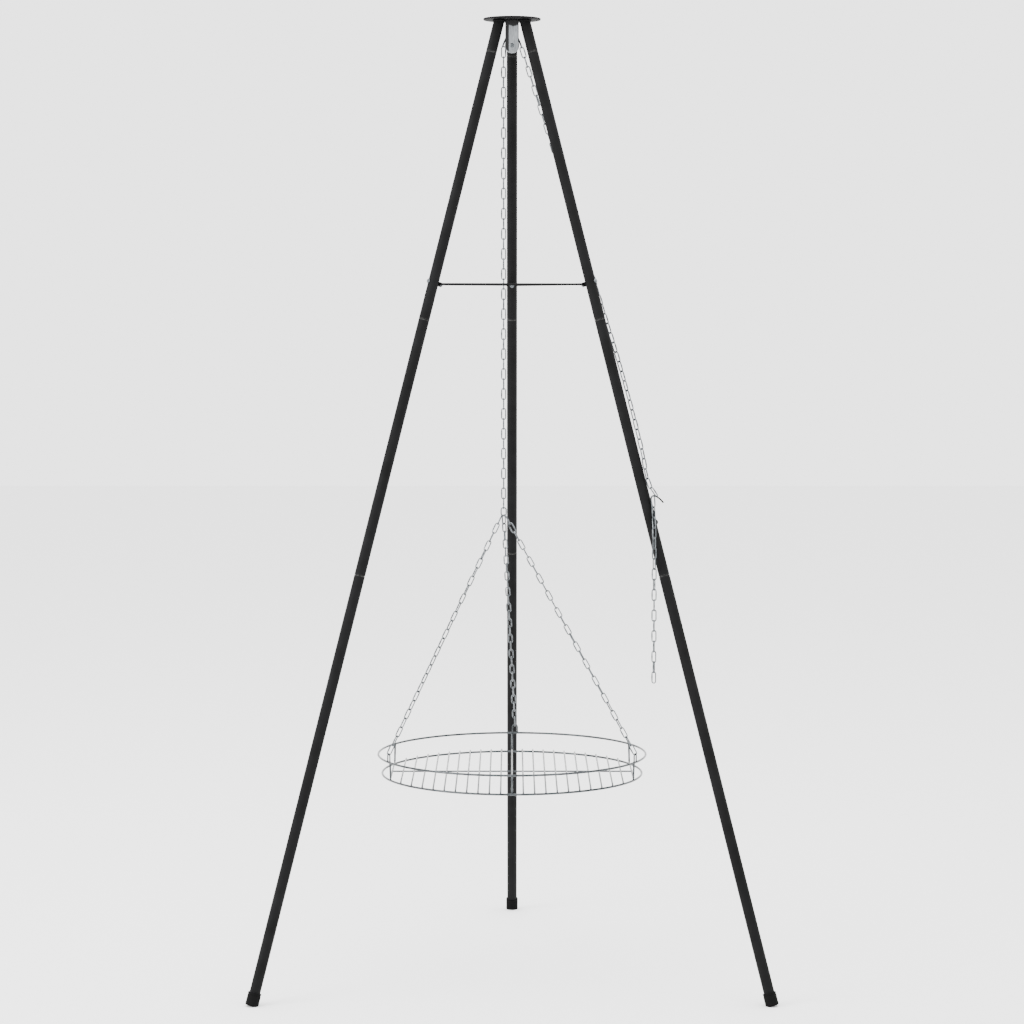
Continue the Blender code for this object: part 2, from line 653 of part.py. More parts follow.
def make_tail():
    """The loose end: over the front of the leg, then hanging free."""
    top = hook_seat() - Vector((0, 0, HOOK_WIRE + TAIL_TOP_DROP))
    lean = ((0.06, 0.25), (0.12, 0.55), (0.19, 0.88), (0.27, 1.0), (0.6, 1.0), (1.0, 1.0))
    points = [top] + [top + Vector((0, -TAIL_LEAN * forward, -TAIL_LENGTH * down))
                      for down, forward in lean]
    chain_run("chain_tail", smooth_route(points, 3))


def make_hook():
    """A wire hook on the leg's outer side, open downwards, with its screw."""
    leg = HOOK_LEG
    off = TUBE_RADIUS + GAP + HOOK_WIRE
    arch = HOOK_HEIGHT + HOOK_RISE
    screw_at = leg.at_height(HOOK_HEIGHT) - leg.up * HOOK_STEM
    stem_low = screw_at + leg.normal * off + leg.up * HOOK_EYE_RADIUS * 0.86
    stem_high = leg.beside(HOOK_HEIGHT - 2 * HOOK_RISE, 0, off)
    bend = HOOK_REACH - HOOK_SEAT
    points = [stem_low, stem_low.lerp(stem_high, 0.5), stem_high,
              leg.radial(HOOK_SEAT - bend * 0.25, arch - HOOK_RISE * 0.5),
              leg.radial(HOOK_SEAT, arch),
              leg.radial(HOOK_SEAT + bend * 0.32, arch - HOOK_TIP_DROP * 0.04),
              leg.radial(HOOK_SEAT + bend * 0.66, arch - HOOK_TIP_DROP * 0.38),
              leg.radial(HOOK_REACH, arch - HOOK_TIP_DROP)]
    hook = wire("chain_hook", smooth_route(points, 4), HOOK_WIRE, "black_coat", fineness=3)
    eye_under = TUBE_RADIUS + GAP
    bore = HOOK_SCREW_RADIUS + GAP
    eye = lathe([(0, 0), (HOOK_EYE_RADIUS, 0), (HOOK_EYE_RADIUS, HOOK_EYE_THICKNESS),
                 (0, HOOK_EYE_THICKNESS)], 16, False)
    outwards = frame(screw_at + leg.normal * eye_under, leg.tangent, leg.up, leg.normal)
    eye_obj = add("chain_hook_eye", mesh_from(eye, "chain_hook_eye"), "black_coat", outwards)
    hook_mesh = solid_copy(hook)
    boolean(hook_mesh, eye_obj, "UNION")
    reach = HOOK_STEM
    hole = lathe([(0, -reach), (bore, -reach), (bore, reach / 2), (0, reach / 2)], 16, False)
    cutter = add("hook_screw_hole", mesh_from(hole, "hook_screw_hole"), None, outwards)
    boolean(hook_mesh, cutter, "DIFFERENCE")
    tube_hole = lathe([(0, -TUBE_RADIUS - GAP), (bore, -TUBE_RADIUS - GAP), (bore, GAP * 2),
                       (0, GAP * 2)], 16, False)
    tube_cutter = add("hook_tube_hole", mesh_from(tube_hole, "hook_tube_hole"), None, outwards)
    boolean(bpy.data.objects["right_middle_tube"], tube_cutter, "DIFFERENCE")
    screw_top = screw_at + leg.normal * (eye_under + HOOK_EYE_THICKNESS + GAP)
    turned("hook_screw",
           pin_profile(HOOK_SCREW_RADIUS, HOOK_SCREW_LENGTH, HOOK_SCREW_HEAD_RADIUS,
                       HOOK_SCREW_HEAD_HEIGHT),
           "black_coat", frame(screw_top, leg.tangent, leg.up, leg.normal), 16)


def solid_copy(curve_obj):
    """Turns a wire into a mesh object of the same name, so that it can be cut and joined."""
    name = curve_obj.name
    bpy.context.view_layer.update()
    depsgraph = bpy.context.evaluated_depsgraph_get()
    mesh = bpy.data.meshes.new_from_object(curve_obj.evaluated_get(depsgraph))
    bm = bmesh.new()
    bm.from_mesh(mesh)
    bpy.data.objects.remove(curve_obj, do_unlink=True)
    return add(name, mesh_from(bm, name), "black_coat")


# --- grate ---------------------------------------------------------------------------

def on_ring(radius, azimuth, height):
    return Vector((radius * math.cos(azimuth), AXIS_Y + radius * math.sin(azimuth), height))


def make_rings():
    ring = [RING_CENTRE + p for p in oval(RING_HALF_WIDTH, RING_HALF_LENGTH, 8)]
    wire("gathering_ring", ring, RING_WIRE, "zinc", closed=True)
    for node, radius, height in (("grate_lower_ring", LOWER_RING, GRATE_HEIGHT),
                                 ("grate_upper_ring", UPPER_RING, UPPER_RING_HEIGHT)):
        steps = 72
        points = [on_ring(radius, math.tau * i / steps, height) for i in range(steps)]
        wire(node, points, RING_WIRE_RADIUS, "bright_wire", closed=True)


def make_bars():
    """The parallel bars, welded onto one cross wire."""
    half = OUTER_BAR_X + CROSS_WIRE_OVERHANG
    below = BAR_HEIGHT - 2 * BAR_RADIUS + CROSS_WIRE_SINK
    start = Vector((-half, AXIS_Y, below))
    profile = [(0, 0), (BAR_RADIUS, 0), (BAR_RADIUS, 2 * half), (0, 2 * half)]
    cross = turned("grate_bars", profile, "bright_wire", along(start, (1, 0, 0)), 8)
    bars = bmesh.new()
    for i in range(BAR_COUNT):
        x = BAR_PITCH * (i - BAR_COUNT // 2)
        length = math.sqrt(LOWER_RING**2 - x**2) + BAR_OVERHANG
        one = lathe([(0, -length), (BAR_RADIUS, -length), (BAR_RADIUS, length), (0, length)],
                    8, False)
        turn = along((x, AXIS_Y, BAR_HEIGHT), (0, 1, 0))
        bmesh.ops.transform(one, matrix=turn, verts=one.verts)
        mesh = mesh_from(one, "bar")
        bars.from_mesh(mesh)
        bpy.data.meshes.remove(mesh)
    boolean(cross, add("bar_set", mesh_from(bars, "bar_set"), None), "UNION")


def make_uprights():
    """Short wires from the ends of the middle and outermost bars up to the upper ring."""
    for name, x in (("left", -OUTER_BAR_X), ("middle", 0.0), ("right", OUTER_BAR_X)):
        for end, sign in (("front", -1.0), ("rear", 1.0)):
            low = Vector((x, AXIS_Y + sign * math.sqrt(LOWER_RING**2 - x**2),
                          BAR_HEIGHT + BAR_RADIUS))
            high = Vector((x, AXIS_Y + sign * math.sqrt(UPPER_RING**2 - x**2),
                           UPPER_RING_HEIGHT - RING_WIRE_RADIUS))
            up = (high - low).normalized()
            tilt = math.sqrt(1 - up.z**2)
            clear = (GAP + UPRIGHT_RADIUS * tilt) / up.z
            low += up * clear
            high -= up * clear
            length = (high - low).length
            profile = [(0, 0), (UPRIGHT_RADIUS, 0), (UPRIGHT_RADIUS, length), (0, length)]
            turned("upright_" + end + "_" + name, profile, "bright_wire", along(low, up), 10)


def make_spread_chains():
    """Three short chains from the gathering ring to lugs on the grate's upper ring."""
    outer = math.acos(OUTER_BAR_X / UPPER_RING)
    shift = LUG_SHIFT / UPPER_RING
    below_ring = RING_CENTRE - Vector((0, 0, RING_HALF_LENGTH))
    tops = []
    for name, azimuth in (("left", math.pi + outer - shift), ("right", -outer + shift),
                          ("rear", math.pi / 2 - shift)):
        foot = on_ring(UPPER_RING, azimuth, UPPER_RING_HEIGHT)
        make_lug(name, foot, azimuth)
        tops.append(foot + Vector((0, 0, LUG_HEIGHT)))
    pulls = [(below_ring - top).normalized() for top in tops]
    narrowest = min(pulls[i].angle(pulls[i - 1]) for i in range(len(pulls)))
    apart = (CHAIN_CORE + SPREAD_CLEARANCE) / 2 / math.sin(narrowest / 2)
    start = max(apart, 2 * RING_HALF_WIDTH)
    for name, top, pull in zip(("left", "right", "rear"), tops, pulls):
        chain_run("spread_chain_" + name, [top + pull * (LUG_WIRE + PLAY * 2),
                                           below_ring - pull * start])


def make_lug(name, foot, azimuth):
    """An arch of wire on the grate's upper ring, for the end of a chain."""
    along_ring = Vector((-math.sin(azimuth), math.cos(azimuth), 0))
    low = RING_WIRE_RADIUS + GAP
    bend = LUG_HEIGHT - LUG_HALF_WIDTH
    path = [(LUG_HALF_WIDTH, low)] + arc(LUG_HALF_WIDTH, 0, 180, 8, (0.0, bend))
    path += [(-LUG_HALF_WIDTH, low)]
    points = [foot + along_ring * a + Vector((0, 0, b)) for a, b in path]
    wire("chain_lug_" + name, points, LUG_WIRE, "bright_wire")


# --- the whole -----------------------------------------------------------------------

def build():
    clear_scene()
    for leg in LEGS:
        make_leg(leg)
        make_brace_bolt(leg)
    for i, leg in enumerate(LEGS):
        make_brace(leg, LEGS[(i + 1) % len(LEGS)])
    make_disc()
    make_housing()
    make_wheel()
    make_axle()
    make_hanger()
    make_chain()
    make_hook()
    make_rings()
    make_bars()
    make_uprights()
    make_spread_chains()


build()
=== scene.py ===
"""A campfire tripod with its hanging grate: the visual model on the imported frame.

Plug-together tube legs under a head disc, a pulley, a welded-link chain and a wire grate.
"""

import math

import bmesh
import bpy
from mathutils import Matrix, Vector


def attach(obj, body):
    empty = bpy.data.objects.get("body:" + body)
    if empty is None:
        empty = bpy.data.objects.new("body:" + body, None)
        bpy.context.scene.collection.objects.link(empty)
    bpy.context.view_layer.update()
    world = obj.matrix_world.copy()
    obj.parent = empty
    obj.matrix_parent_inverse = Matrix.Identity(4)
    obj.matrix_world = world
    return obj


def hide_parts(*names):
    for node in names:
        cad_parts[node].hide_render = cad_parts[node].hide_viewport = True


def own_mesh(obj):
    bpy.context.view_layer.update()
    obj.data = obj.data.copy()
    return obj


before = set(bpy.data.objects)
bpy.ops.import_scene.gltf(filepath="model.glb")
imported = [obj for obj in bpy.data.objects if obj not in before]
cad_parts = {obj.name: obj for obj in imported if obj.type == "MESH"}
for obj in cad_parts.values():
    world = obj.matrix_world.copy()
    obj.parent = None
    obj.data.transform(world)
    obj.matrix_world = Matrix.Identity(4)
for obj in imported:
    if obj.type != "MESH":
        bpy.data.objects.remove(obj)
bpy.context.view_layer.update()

# --- sizes in metres: the part's own, and those of details that only this model has ------

GAP = 0.0003
HEIGHT = 1.800
FOOT_CIRCLE = 0.5455
HEAD_CIRCLE = 0.0268
AXIS_Y = -FOOT_CIRCLE / 4
LEG_AZIMUTHS = {"left": 210.0, "right": 330.0, "rear": 90.0}
TUBE_RADIUS = 0.0100
TUBE_WALL = 0.0012
BORE_RADIUS = TUBE_RADIUS - TUBE_WALL
SPIGOT_RADIUS = BORE_RADIUS - GAP
SPIGOT_LENGTH = 0.045
SWAGE_LENGTH = 0.006
JOINT_GAP = 0.0005
RIM_HIGHLIGHT = 0.0019  # how far from a tube's rim the painted highlight reaches
SOCKET_LENGTH = 0.0632
UPPER_LENGTH = 0.5153
MIDDLE_LENGTH = 0.4866
DISC_RADIUS = 0.0535
DISC_THICKNESS = 0.003
DISC_UNDERSIDE = HEIGHT - DISC_THICKNESS
CAP_WALL = 0.0019
CAP_RADIUS = TUBE_RADIUS + GAP + CAP_WALL
CAP_HEIGHT = 0.024
CAP_FLOOR = 0.004
SOLE_CUT = 0.0026
BRACE_HEIGHT = 1.3095
BOLT_BORE = 0.0028
HANGER_BORE = 0.0033
AXLE_DROP = 0.0474
AXLE_HEIGHT = DISC_UNDERSIDE - AXLE_DROP
AXLE_BORE = 0.00306
WHEEL_RIM = 0.0135
WHEEL_RIM_WIDTH = 0.0016
WHEEL_BOSS_STEP = 0.0014
CHAIN_PATH = 0.0158  # radius of the chain's middle on the wheel
CHAIN_WIDTH = 0.0096
LINK_WIRE = 0.00110
LINK_PITCH = 0.0186
LINK_HALF_LENGTH = LINK_PITCH / 2 + LINK_WIRE + 0.00002
LINK_HALF_WIDTH = 0.0037
LOOSENESS = 5.0  # degrees by which a link can hang out of its turn
TOP_LINK_DROP = 0.0119  # from the axle down to the first hanging link's middle
RETURN_ANGLE = 17.4  # degrees from straight down at which the chain leaves the wheel
WIND_TOP = 1.226  # heights between which the chain winds round the right leg
WIND_END = 0.940
WIND_ANGLES = (44.0, -34.0)  # its azimuths round the leg at these heights
WIND_RADIUS = 0.0173
TAIL_SEAT_DROP = 0.0005
TAIL_TOP_DROP = 0.0075
TAIL_LENGTH = 0.3340
TAIL_LEAN = 0.0165
BESIDE_WIRE = 0.0026  # between two links that hang side by side on one wire
RING_DROP = 0.8710  # from the axle down to the gathering ring's middle
RING_HEIGHT = AXLE_HEIGHT - RING_DROP
RING_HALF_WIDTH = 0.0047
RING_HALF_LENGTH = 0.0080
RING_WIRE = 0.00125
HOOK_HEIGHT = 0.9125
HOOK_TURN = -8.0
HOOK_SEAT = 0.0200
HOOK_RISE = 0.0067
HOOK_WIRE = 0.0015
HOOK_STEM = 0.0460
SCREW_BORE = 0.0023
LOWER_RING = 0.2460
UPPER_RING = 0.2535
RING_WIRE_RADIUS = 0.0020
GRATE_HEIGHT = 0.3827
GRATE_DEPTH = 0.0361  # between the two rings' middles
UPPER_RING_HEIGHT = GRATE_HEIGHT + GRATE_DEPTH
BAR_RADIUS = 0.0015
BAR_PITCH = 0.0206
BAR_COUNT = 23
BAR_OVERHANG = 0.0012
CROSS_WIRE_SINK = 0.0006  # how deep the cross wire is welded into the bars
CROSS_WIRE_OVERHANG = 0.0024
UPRIGHT_RADIUS = 0.0018
BAR_HEIGHT = GRATE_HEIGHT + RING_WIRE_RADIUS + GAP + BAR_RADIUS
OUTER_BAR_X = BAR_PITCH * (BAR_COUNT // 2)
LUG_WIRE = 0.00125
LUG_HALF_WIDTH = 0.0050
LUG_HEIGHT = 0.0165
LUG_SHIFT = 0.0060  # of a lug's middle beside an upright, along the ring
BEAD_RADIUS = 0.0017  # of the weld round a socket
BEAD_OUT = 0.0003  # from the tube's side to the bead's middle
BEAD_DROP = 0.0021  # from the disc's underside
BEAD_RIPPLES = 32
LUG_WELD = (0.0022, 0.0022, 0.0011)  # half sizes of the spot welds
CROSS_WELD = (0.0019, 0.0019, 0.0009)
RING_WELD = (0.0022, 0.0020, 0.0010)
UPRIGHT_FOOT_WELD = (0.0025, 0.0025, 0.0013)
UPRIGHT_HEAD_WELD = (0.0026, 0.0026, 0.0014)
STRIP_MIDDLE = 0.0027  # of the housing's unshaded strip, to the right of the tripod's axis; the sides beyond it are in painted shade
EDGE_SHADE_START = (0.0083, 0.0089)  # distances from its middle between which the painted shade begins
DISC_SHADOW_EDGE = (0.0135, 0.0115)  # depths under the disc between which the painted shadow of the disc begins
DISC_SHADOW_ARCH = -0.35  # slope of that painted shadow's lower edge, which rises towards the sides
CAMERA_DISTANCE = 5.286  # from the tripod's axis
CAMERA_HEIGHT = 1.2747
CAMERA_TILT = 85.71  # degrees from straight down
CAMERA_LENS = 98.75


# --- materials --------------------------------------------------------------------------

def linear(code):
    """An sRGB hex colour as linear light."""
    values = [int(code[i:i + 2], 16) / 255 for i in (1, 3, 5)]
    light = [v / 12.92 if v <= 0.04045 else ((v + 0.055) / 1.055) ** 2.4 for v in values]
    return (*light, 1.0)


def put(tree, kind, settings=None, values=None, links=None):
    """Adds a node, sets its properties and sockets, and links other nodes' outputs to it."""
    node = tree.nodes.new(kind)
    for key, value in (settings or {}).items():
        setattr(node, key, value)
    for key, value in (values or {}).items():
        node.inputs[key].default_value = value
    for key, output in (links or {}).items():
        tree.links.new(output, node.inputs[key])
    return node


def ramp(tree, factor, stops):
    """A colour ramp between hex colours or greys at given positions."""
    node = put(tree, "ShaderNodeValToRGB", links={"Fac": factor})
    elements = node.color_ramp.elements
    while len(elements) < len(stops):
        elements.new(0.5)
    for element, (place, colour) in zip(elements, stops):
        element.position = place
        element.color = linear(colour) if isinstance(colour, str) else (colour,) * 3 + (1.0,)
    return node.outputs["Color"]


def new_material(name):
    """A material, its node tree, its shader and the object's own coordinates."""
    mat = bpy.data.materials.new(name)
    mat.use_nodes = True
    tree = mat.node_tree
    coords = put(tree, "ShaderNodeTexCoord").outputs["Object"]
    return mat, tree, tree.nodes["Principled BSDF"], coords


def noise(tree, coords, size_mm, detail=3.0, roughness=0.5):
    """Noise whose features are about the given size."""
    return put(tree, "ShaderNodeTexNoise", values={
        "Scale": 1000.0 / size_mm, "Detail": detail, "Roughness": roughness},
        links={"Vector": coords}).outputs["Fac"]


def powder_coat():
    """Matt black polyester powder coat on steel: near black, a fine orange peel of 1 mm
    to 2 mm that breaks up the highlight, and a faint film of dust that lightens it. Near
    the tubes' rims a thin grey band, broken up by noise, is a painted highlight of the rims
    catching light."""
    mat, tree, shader, coords = new_material("powder_coat_matt_black")
    dust = noise(tree, coords, 60.0, 5.0, 0.6)
    clean = ramp(tree, dust, ((0.30, "#070707"), (0.72, "#0f0f10")))
    # A thin grey band at the tubes' rims is a painted highlight of the rims catching light,
    # broken up by 3 mm noise.
    highlight_breakup = noise(tree, coords, 3.0, 3.0, 0.6)
    rim_highlight = put(tree, "ShaderNodeAttribute", {"attribute_name": "rim_highlight"}).outputs["Fac"]
    rim_highlight_level = put(tree, "ShaderNodeMath", {"operation": "MULTIPLY", "use_clamp": True}, links={
        0: rim_highlight, 1: ramp(tree, highlight_breakup, ((0.38, 0.15), (0.62, 1.0)))}).outputs["Value"]
    colour = put(tree, "ShaderNodeMix", {"data_type": "RGBA"}, {"B": linear("#3e3e3d")},
                 {"Factor": rim_highlight_level, "A": clean})
    tree.links.new(colour.outputs[2], shader.inputs["Base Color"])
    patches = noise(tree, coords, 22.0, 3.0)
    tree.links.new(ramp(tree, patches, ((0.3, 0.58), (0.7, 0.74))), shader.inputs["Roughness"])
    peel = noise(tree, coords, 1.6, 2.0)
    grain = noise(tree, coords, 0.5, 1.0)
    coarse = put(tree, "ShaderNodeBump", values={"Strength": 0.22, "Distance": 0.0002},
                 links={"Height": peel})
    bump = put(tree, "ShaderNodeBump", values={"Strength": 0.10, "Distance": 0.0001},
               links={"Height": grain, "Normal": coarse.outputs["Normal"]})
    tree.links.new(bump.outputs["Normal"], shader.inputs["Normal"])
    shader.inputs["IOR"].default_value = 1.5
    shader.inputs["Specular IOR Level"].default_value = 0.08
    return mat


def moulded_rubber():
    """Moulded black EPDM rubber: matt, slightly grey from bloom, with a fine 0.6 mm grain."""
    mat, tree, shader, coords = new_material("moulded_rubber_black")
    bloom = noise(tree, coords, 9.0, 4.0, 0.6)
    tree.links.new(ramp(tree, bloom, ((0.3, "#050505"), (0.75, "#0b0b0b"))),
                   shader.inputs["Base Color"])
    tree.links.new(ramp(tree, bloom, ((0.3, 0.70), (0.7, 0.86))), shader.inputs["Roughness"])
    grain = noise(tree, coords, 0.6, 2.0)
    bump = put(tree, "ShaderNodeBump", values={"Strength": 0.25, "Distance": 0.0002},
               links={"Height": grain})
    tree.links.new(bump.outputs["Normal"], shader.inputs["Normal"])
    shader.inputs["IOR"].default_value = 1.52
    shader.inputs["Specular IOR Level"].default_value = 0.06
    return mat


def plated_steel(name, dark, light, rough_low, rough_high, mottle_mm, strength):
    """Electroplated steel: a metal with mottled brightness and tiny draw marks."""
    mat, tree, shader, coords = new_material(name)
    mottle = noise(tree, coords, mottle_mm, 4.0, 0.6)
    tree.links.new(ramp(tree, mottle, ((0.30, dark), (0.70, light))),
                   shader.inputs["Base Color"])
    tree.links.new(ramp(tree, mottle, ((0.30, rough_high), (0.70, rough_low))),
                   shader.inputs["Roughness"])
    marks = noise(tree, coords, 0.8, 2.0, 0.6)
    bump = put(tree, "ShaderNodeBump", values={"Strength": strength, "Distance": 0.0001},
               links={"Height": marks})
    tree.links.new(bump.outputs["Normal"], shader.inputs["Normal"])
    shader.inputs["Metallic"].default_value = 1.0
    return mat


def rolled_sheet():
    """Zinc-plated sheet, folded: fine vertical roll marks. The folded long edges, 6 mm wide
    on the left and 1 mm on the right, are painted shade in near black, and the top under
    the disc holds a painted shadow of the disc; under both the sheet is not metallic."""
    mat, tree, shader, coords = new_material("zinc_plated_folded_sheet")
    # Painted shade on the folded long edges: near black beyond a distance from the strip's
    # middle, wider on the left.
    place = put(tree, "ShaderNodeSeparateXYZ", links={"Vector": coords}).outputs
    shifted = put(tree, "ShaderNodeMath", {"operation": "SUBTRACT"}, {1: STRIP_MIDDLE},
                  {0: place["X"]}).outputs["Value"]
    out = put(tree, "ShaderNodeMath", {"operation": "ABSOLUTE"}, links={0: shifted})
    edge = put(tree, "ShaderNodeMapRange", values={
        "From Min": EDGE_SHADE_START[0], "From Max": EDGE_SHADE_START[1]},
        links={"Value": out.outputs["Value"]}).outputs["Result"]
    # Painted shadow of the disc over the top of the housing, its lower edge arching up towards
    # the sides.
    height = place["Z"]
    arched = put(tree, "ShaderNodeMath", {"operation": "MULTIPLY_ADD"}, {1: DISC_SHADOW_ARCH},
                 {0: out.outputs["Value"], 2: height}).outputs["Value"]
    disc_shadow = put(tree, "ShaderNodeMapRange", values={
        "From Min": DISC_UNDERSIDE - DISC_SHADOW_EDGE[0], "From Max": DISC_UNDERSIDE - DISC_SHADOW_EDGE[1]},
        links={"Value": arched}).outputs["Result"]
    painted_shade = put(tree, "ShaderNodeMath", {"operation": "MAXIMUM"}, links={
        0: edge, 1: disc_shadow}).outputs["Value"]
    unshaded = put(tree, "ShaderNodeMath", {"operation": "SUBTRACT"}, {0: 1.0},
               {1: painted_shade}).outputs["Value"]
    marks = put(tree, "ShaderNodeMapping", values={"Scale": (1.0, 1.0, 0.06)},
                links={"Vector": coords}).outputs["Vector"]
    rolled = noise(tree, marks, 1.2, 3.0, 0.6)
    mottle = noise(tree, coords, 12.0, 4.0, 0.6)
    clean = put(tree, "ShaderNodeMix", {"data_type": "RGBA"}, {"Factor": 0.5},
                {"A": ramp(tree, mottle, ((0.30, "#66696b"), (0.70, "#85888b"))),
                 "B": ramp(tree, rolled, ((0.32, "#54575a"), (0.68, "#989b9e")))})
    # Where the painted shade and the painted shadow lie, the sheet is near black.
    colour = put(tree, "ShaderNodeMix", {"data_type": "RGBA"}, {"B": linear("#101011")},
                 {"Factor": painted_shade, "A": clean.outputs[2]})
    tree.links.new(colour.outputs[2], shader.inputs["Base Color"])
    tree.links.new(ramp(tree, rolled, ((0.30, 0.46), (0.70, 0.30))), shader.inputs["Roughness"])
    bump = put(tree, "ShaderNodeBump", values={"Strength": 0.2, "Distance": 0.0001},
               links={"Height": rolled})
    tree.links.new(bump.outputs["Normal"], shader.inputs["Normal"])
    # Only the unshaded sheet is metallic, so the painted shade stays near black.
    tree.links.new(unshaded, shader.inputs["Metallic"])
    shader.inputs["Specular IOR Level"].default_value = 0.2
    return mat


COAT = powder_coat()
RUBBER = moulded_rubber()
# Bright zinc plating on the chain and the fasteners: slightly blue, cloudy in 5 mm patches; the
# darker patches are partly the plating's cloud and partly painted reflection of dark
# surroundings.
ZINC = plated_steel("zinc_plating_bright", "#333638", "#6f7376", 0.22, 0.40, 5.0, 0.20)
# Zinc on the turned wheel: duller and more even than on the chain.
WHEEL = plated_steel("zinc_plated_wheel", "#6a6d6f", "#999c9f", 0.30, 0.44, 12.0, 0.15)
HOUSING = rolled_sheet()
# Nickel and chrome on drawn wire: the brightest finish, with soft long mottling whose dark
# patches are painted reflection of dark surroundings.
WIRE = plated_steel("chrome_plated_wire", "#26292b", "#545759", 0.16, 0.32, 14.0, 0.12)
# Plating over a spot weld, duller and rougher than the wire beside it.
NUGGET = plated_steel("plated_spot_weld", "#2b2d2f", "#56595b", 0.34, 0.52, 2.0, 0.45)


# --- building tools ---------------------------------------------------------------------

def finish_piece(name, bm, body, mat, nodes, sharp=40.0):
    """Makes the mesh an object in its place, and says what it rides on and stands for."""
    bmesh.ops.remove_doubles(bm, verts=bm.verts, dist=1e-6)
    bmesh.ops.recalc_face_normals(bm, faces=bm.faces)
    mesh = bpy.data.meshes.new(name)
    bm.to_mesh(mesh)
    bm.free()
    mesh.shade_smooth()
    mesh.set_sharp_from_angle(angle=math.radians(sharp))
    mesh.materials.append(mat)
    obj = bpy.data.objects.new(name, mesh)
    bpy.context.scene.collection.objects.link(obj)
    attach(obj, body)
    if nodes:
        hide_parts(*nodes)
    return obj


def merge(target, part, matrix):
    """Adds one bmesh's shape to another, moved by the matrix."""
    mesh = bpy.data.meshes.new("shape")
    part.to_mesh(mesh)
    part.free()
    mesh.transform(matrix)
    target.from_mesh(mesh)
    bpy.data.meshes.remove(mesh)


def lathe(profile, sides, closed):
    """Spins a profile of (radius, height) points about Z."""
    bm = bmesh.new()
    verts = [bm.verts.new((r, 0.0, z)) for r, z in profile]
    edges = [bm.edges.new(pair) for pair in zip(verts, verts[1:])]
    if closed:
        edges.append(bm.edges.new((verts[-1], verts[0])))
    bmesh.ops.spin(bm, geom=verts + edges, cent=(0, 0, 0), axis=(0, 0, 1),
                   angle=math.tau, steps=sides, use_merge=True)
    bmesh.ops.remove_doubles(bm, verts=bm.verts, dist=1e-7)
    return bm


def hoop(wire, radius, sides, steps):
    """A closed ring of round wire about Z."""
    bm = bmesh.new()
    bmesh.ops.create_circle(bm, cap_ends=False, radius=wire, segments=sides)
    bmesh.ops.rotate(bm, cent=(0, 0, 0), matrix=Matrix.Rotation(math.pi / 2, 3, "X"),
                     verts=bm.verts)
    bmesh.ops.translate(bm, vec=(radius, 0, 0), verts=bm.verts)
    bmesh.ops.spin(bm, geom=bm.verts[:] + bm.edges[:], cent=(0, 0, 0), axis=(0, 0, 1),
                   angle=math.tau, steps=steps, use_merge=True)
    return bm


def rounding(radius, start, end, steps, centre):
    """Profile points round a corner, angles in degrees."""
    return [(centre[0] + radius * math.cos(math.radians(start + (end - start) * i / steps)),
             centre[1] + radius * math.sin(math.radians(start + (end - start) * i / steps)))
            for i in range(steps + 1)]


def bent_wire(radius, sides, start, moves):
    """Draws a round wire from a start point along straight and bent stretches.

    It begins as a circle facing up. A move is ("to", vector) or ("bend", centre, degrees,
    steps), which turns about Y."""
    bm = bmesh.new()
    made = bmesh.ops.create_circle(bm, cap_ends=False, radius=radius, segments=sides)
    bmesh.ops.translate(bm, vec=start, verts=made["verts"])
    edges = bm.edges[:]
    for move in moves:
        if move[0] == "to":
            grown = bmesh.ops.extrude_edge_only(bm, edges=edges)["geom"]
            verts = [g for g in grown if isinstance(g, bmesh.types.BMVert)]
            edges = [g for g in grown if isinstance(g, bmesh.types.BMEdge)
                     and all(v in verts for v in g.verts)]
            bmesh.ops.translate(bm, vec=move[1], verts=verts)
        else:
            verts = list({v for e in edges for v in e.verts})
            grown = bmesh.ops.spin(bm, geom=verts + edges, cent=move[1], axis=(0, 1, 0),
                                   angle=math.radians(move[2]), steps=move[3],
                                   use_merge=False)["geom_last"]
            edges = [g for g in grown if isinstance(g, bmesh.types.BMEdge)]
    bmesh.ops.remove_doubles(bm, verts=bm.verts, dist=1e-6)
    bmesh.ops.holes_fill(bm, edges=[e for e in bm.edges if e.is_boundary], sides=0)
    return bm


def oval_wire(radius, sides, half_width, half_length, steps):
    """A closed oval of wire in the XZ plane, long along Z."""
    straight = half_length - half_width
    return bent_wire(radius, sides, (half_width, 0, 0), [
        ("to", (0, 0, straight)), ("bend", (0, 0, straight), -180, steps),
        ("to", (0, 0, -2 * straight)), ("bend", (0, 0, -straight), -180, steps),
        ("to", (0, 0, straight))])


def one_link():
    """A welded chain link: an oval, with the weld's bulge on one long side."""
    bm = oval_wire(LINK_WIRE, 8, LINK_HALF_WIDTH, LINK_HALF_LENGTH, 6)
    weld_reach = 0.0005
    swell = 1.3
    for vert in bm.verts:
        if vert.co.x > 0 and abs(vert.co.z) < weld_reach:
            vert.co.x = LINK_HALF_WIDTH + (vert.co.x - LINK_HALF_WIDTH) * swell
            vert.co.y *= swell
    mesh = bpy.data.meshes.new("link")
    bmesh.ops.recalc_face_normals(bm, faces=bm.faces)
    bm.to_mesh(mesh)
    bm.free()
    return mesh


LINK = one_link()


def add_link(bm, matrix):
    part = bmesh.new()
    part.from_mesh(LINK)
    merge(bm, part, matrix)


def frame_at(origin, x_axis, y_axis, z_axis):
    """The matrix that puts a shape at a place, along three given directions."""
    turn = Matrix((x_axis, y_axis, z_axis)).transposed().to_4x4()
    return Matrix.Translation(origin) @ turn


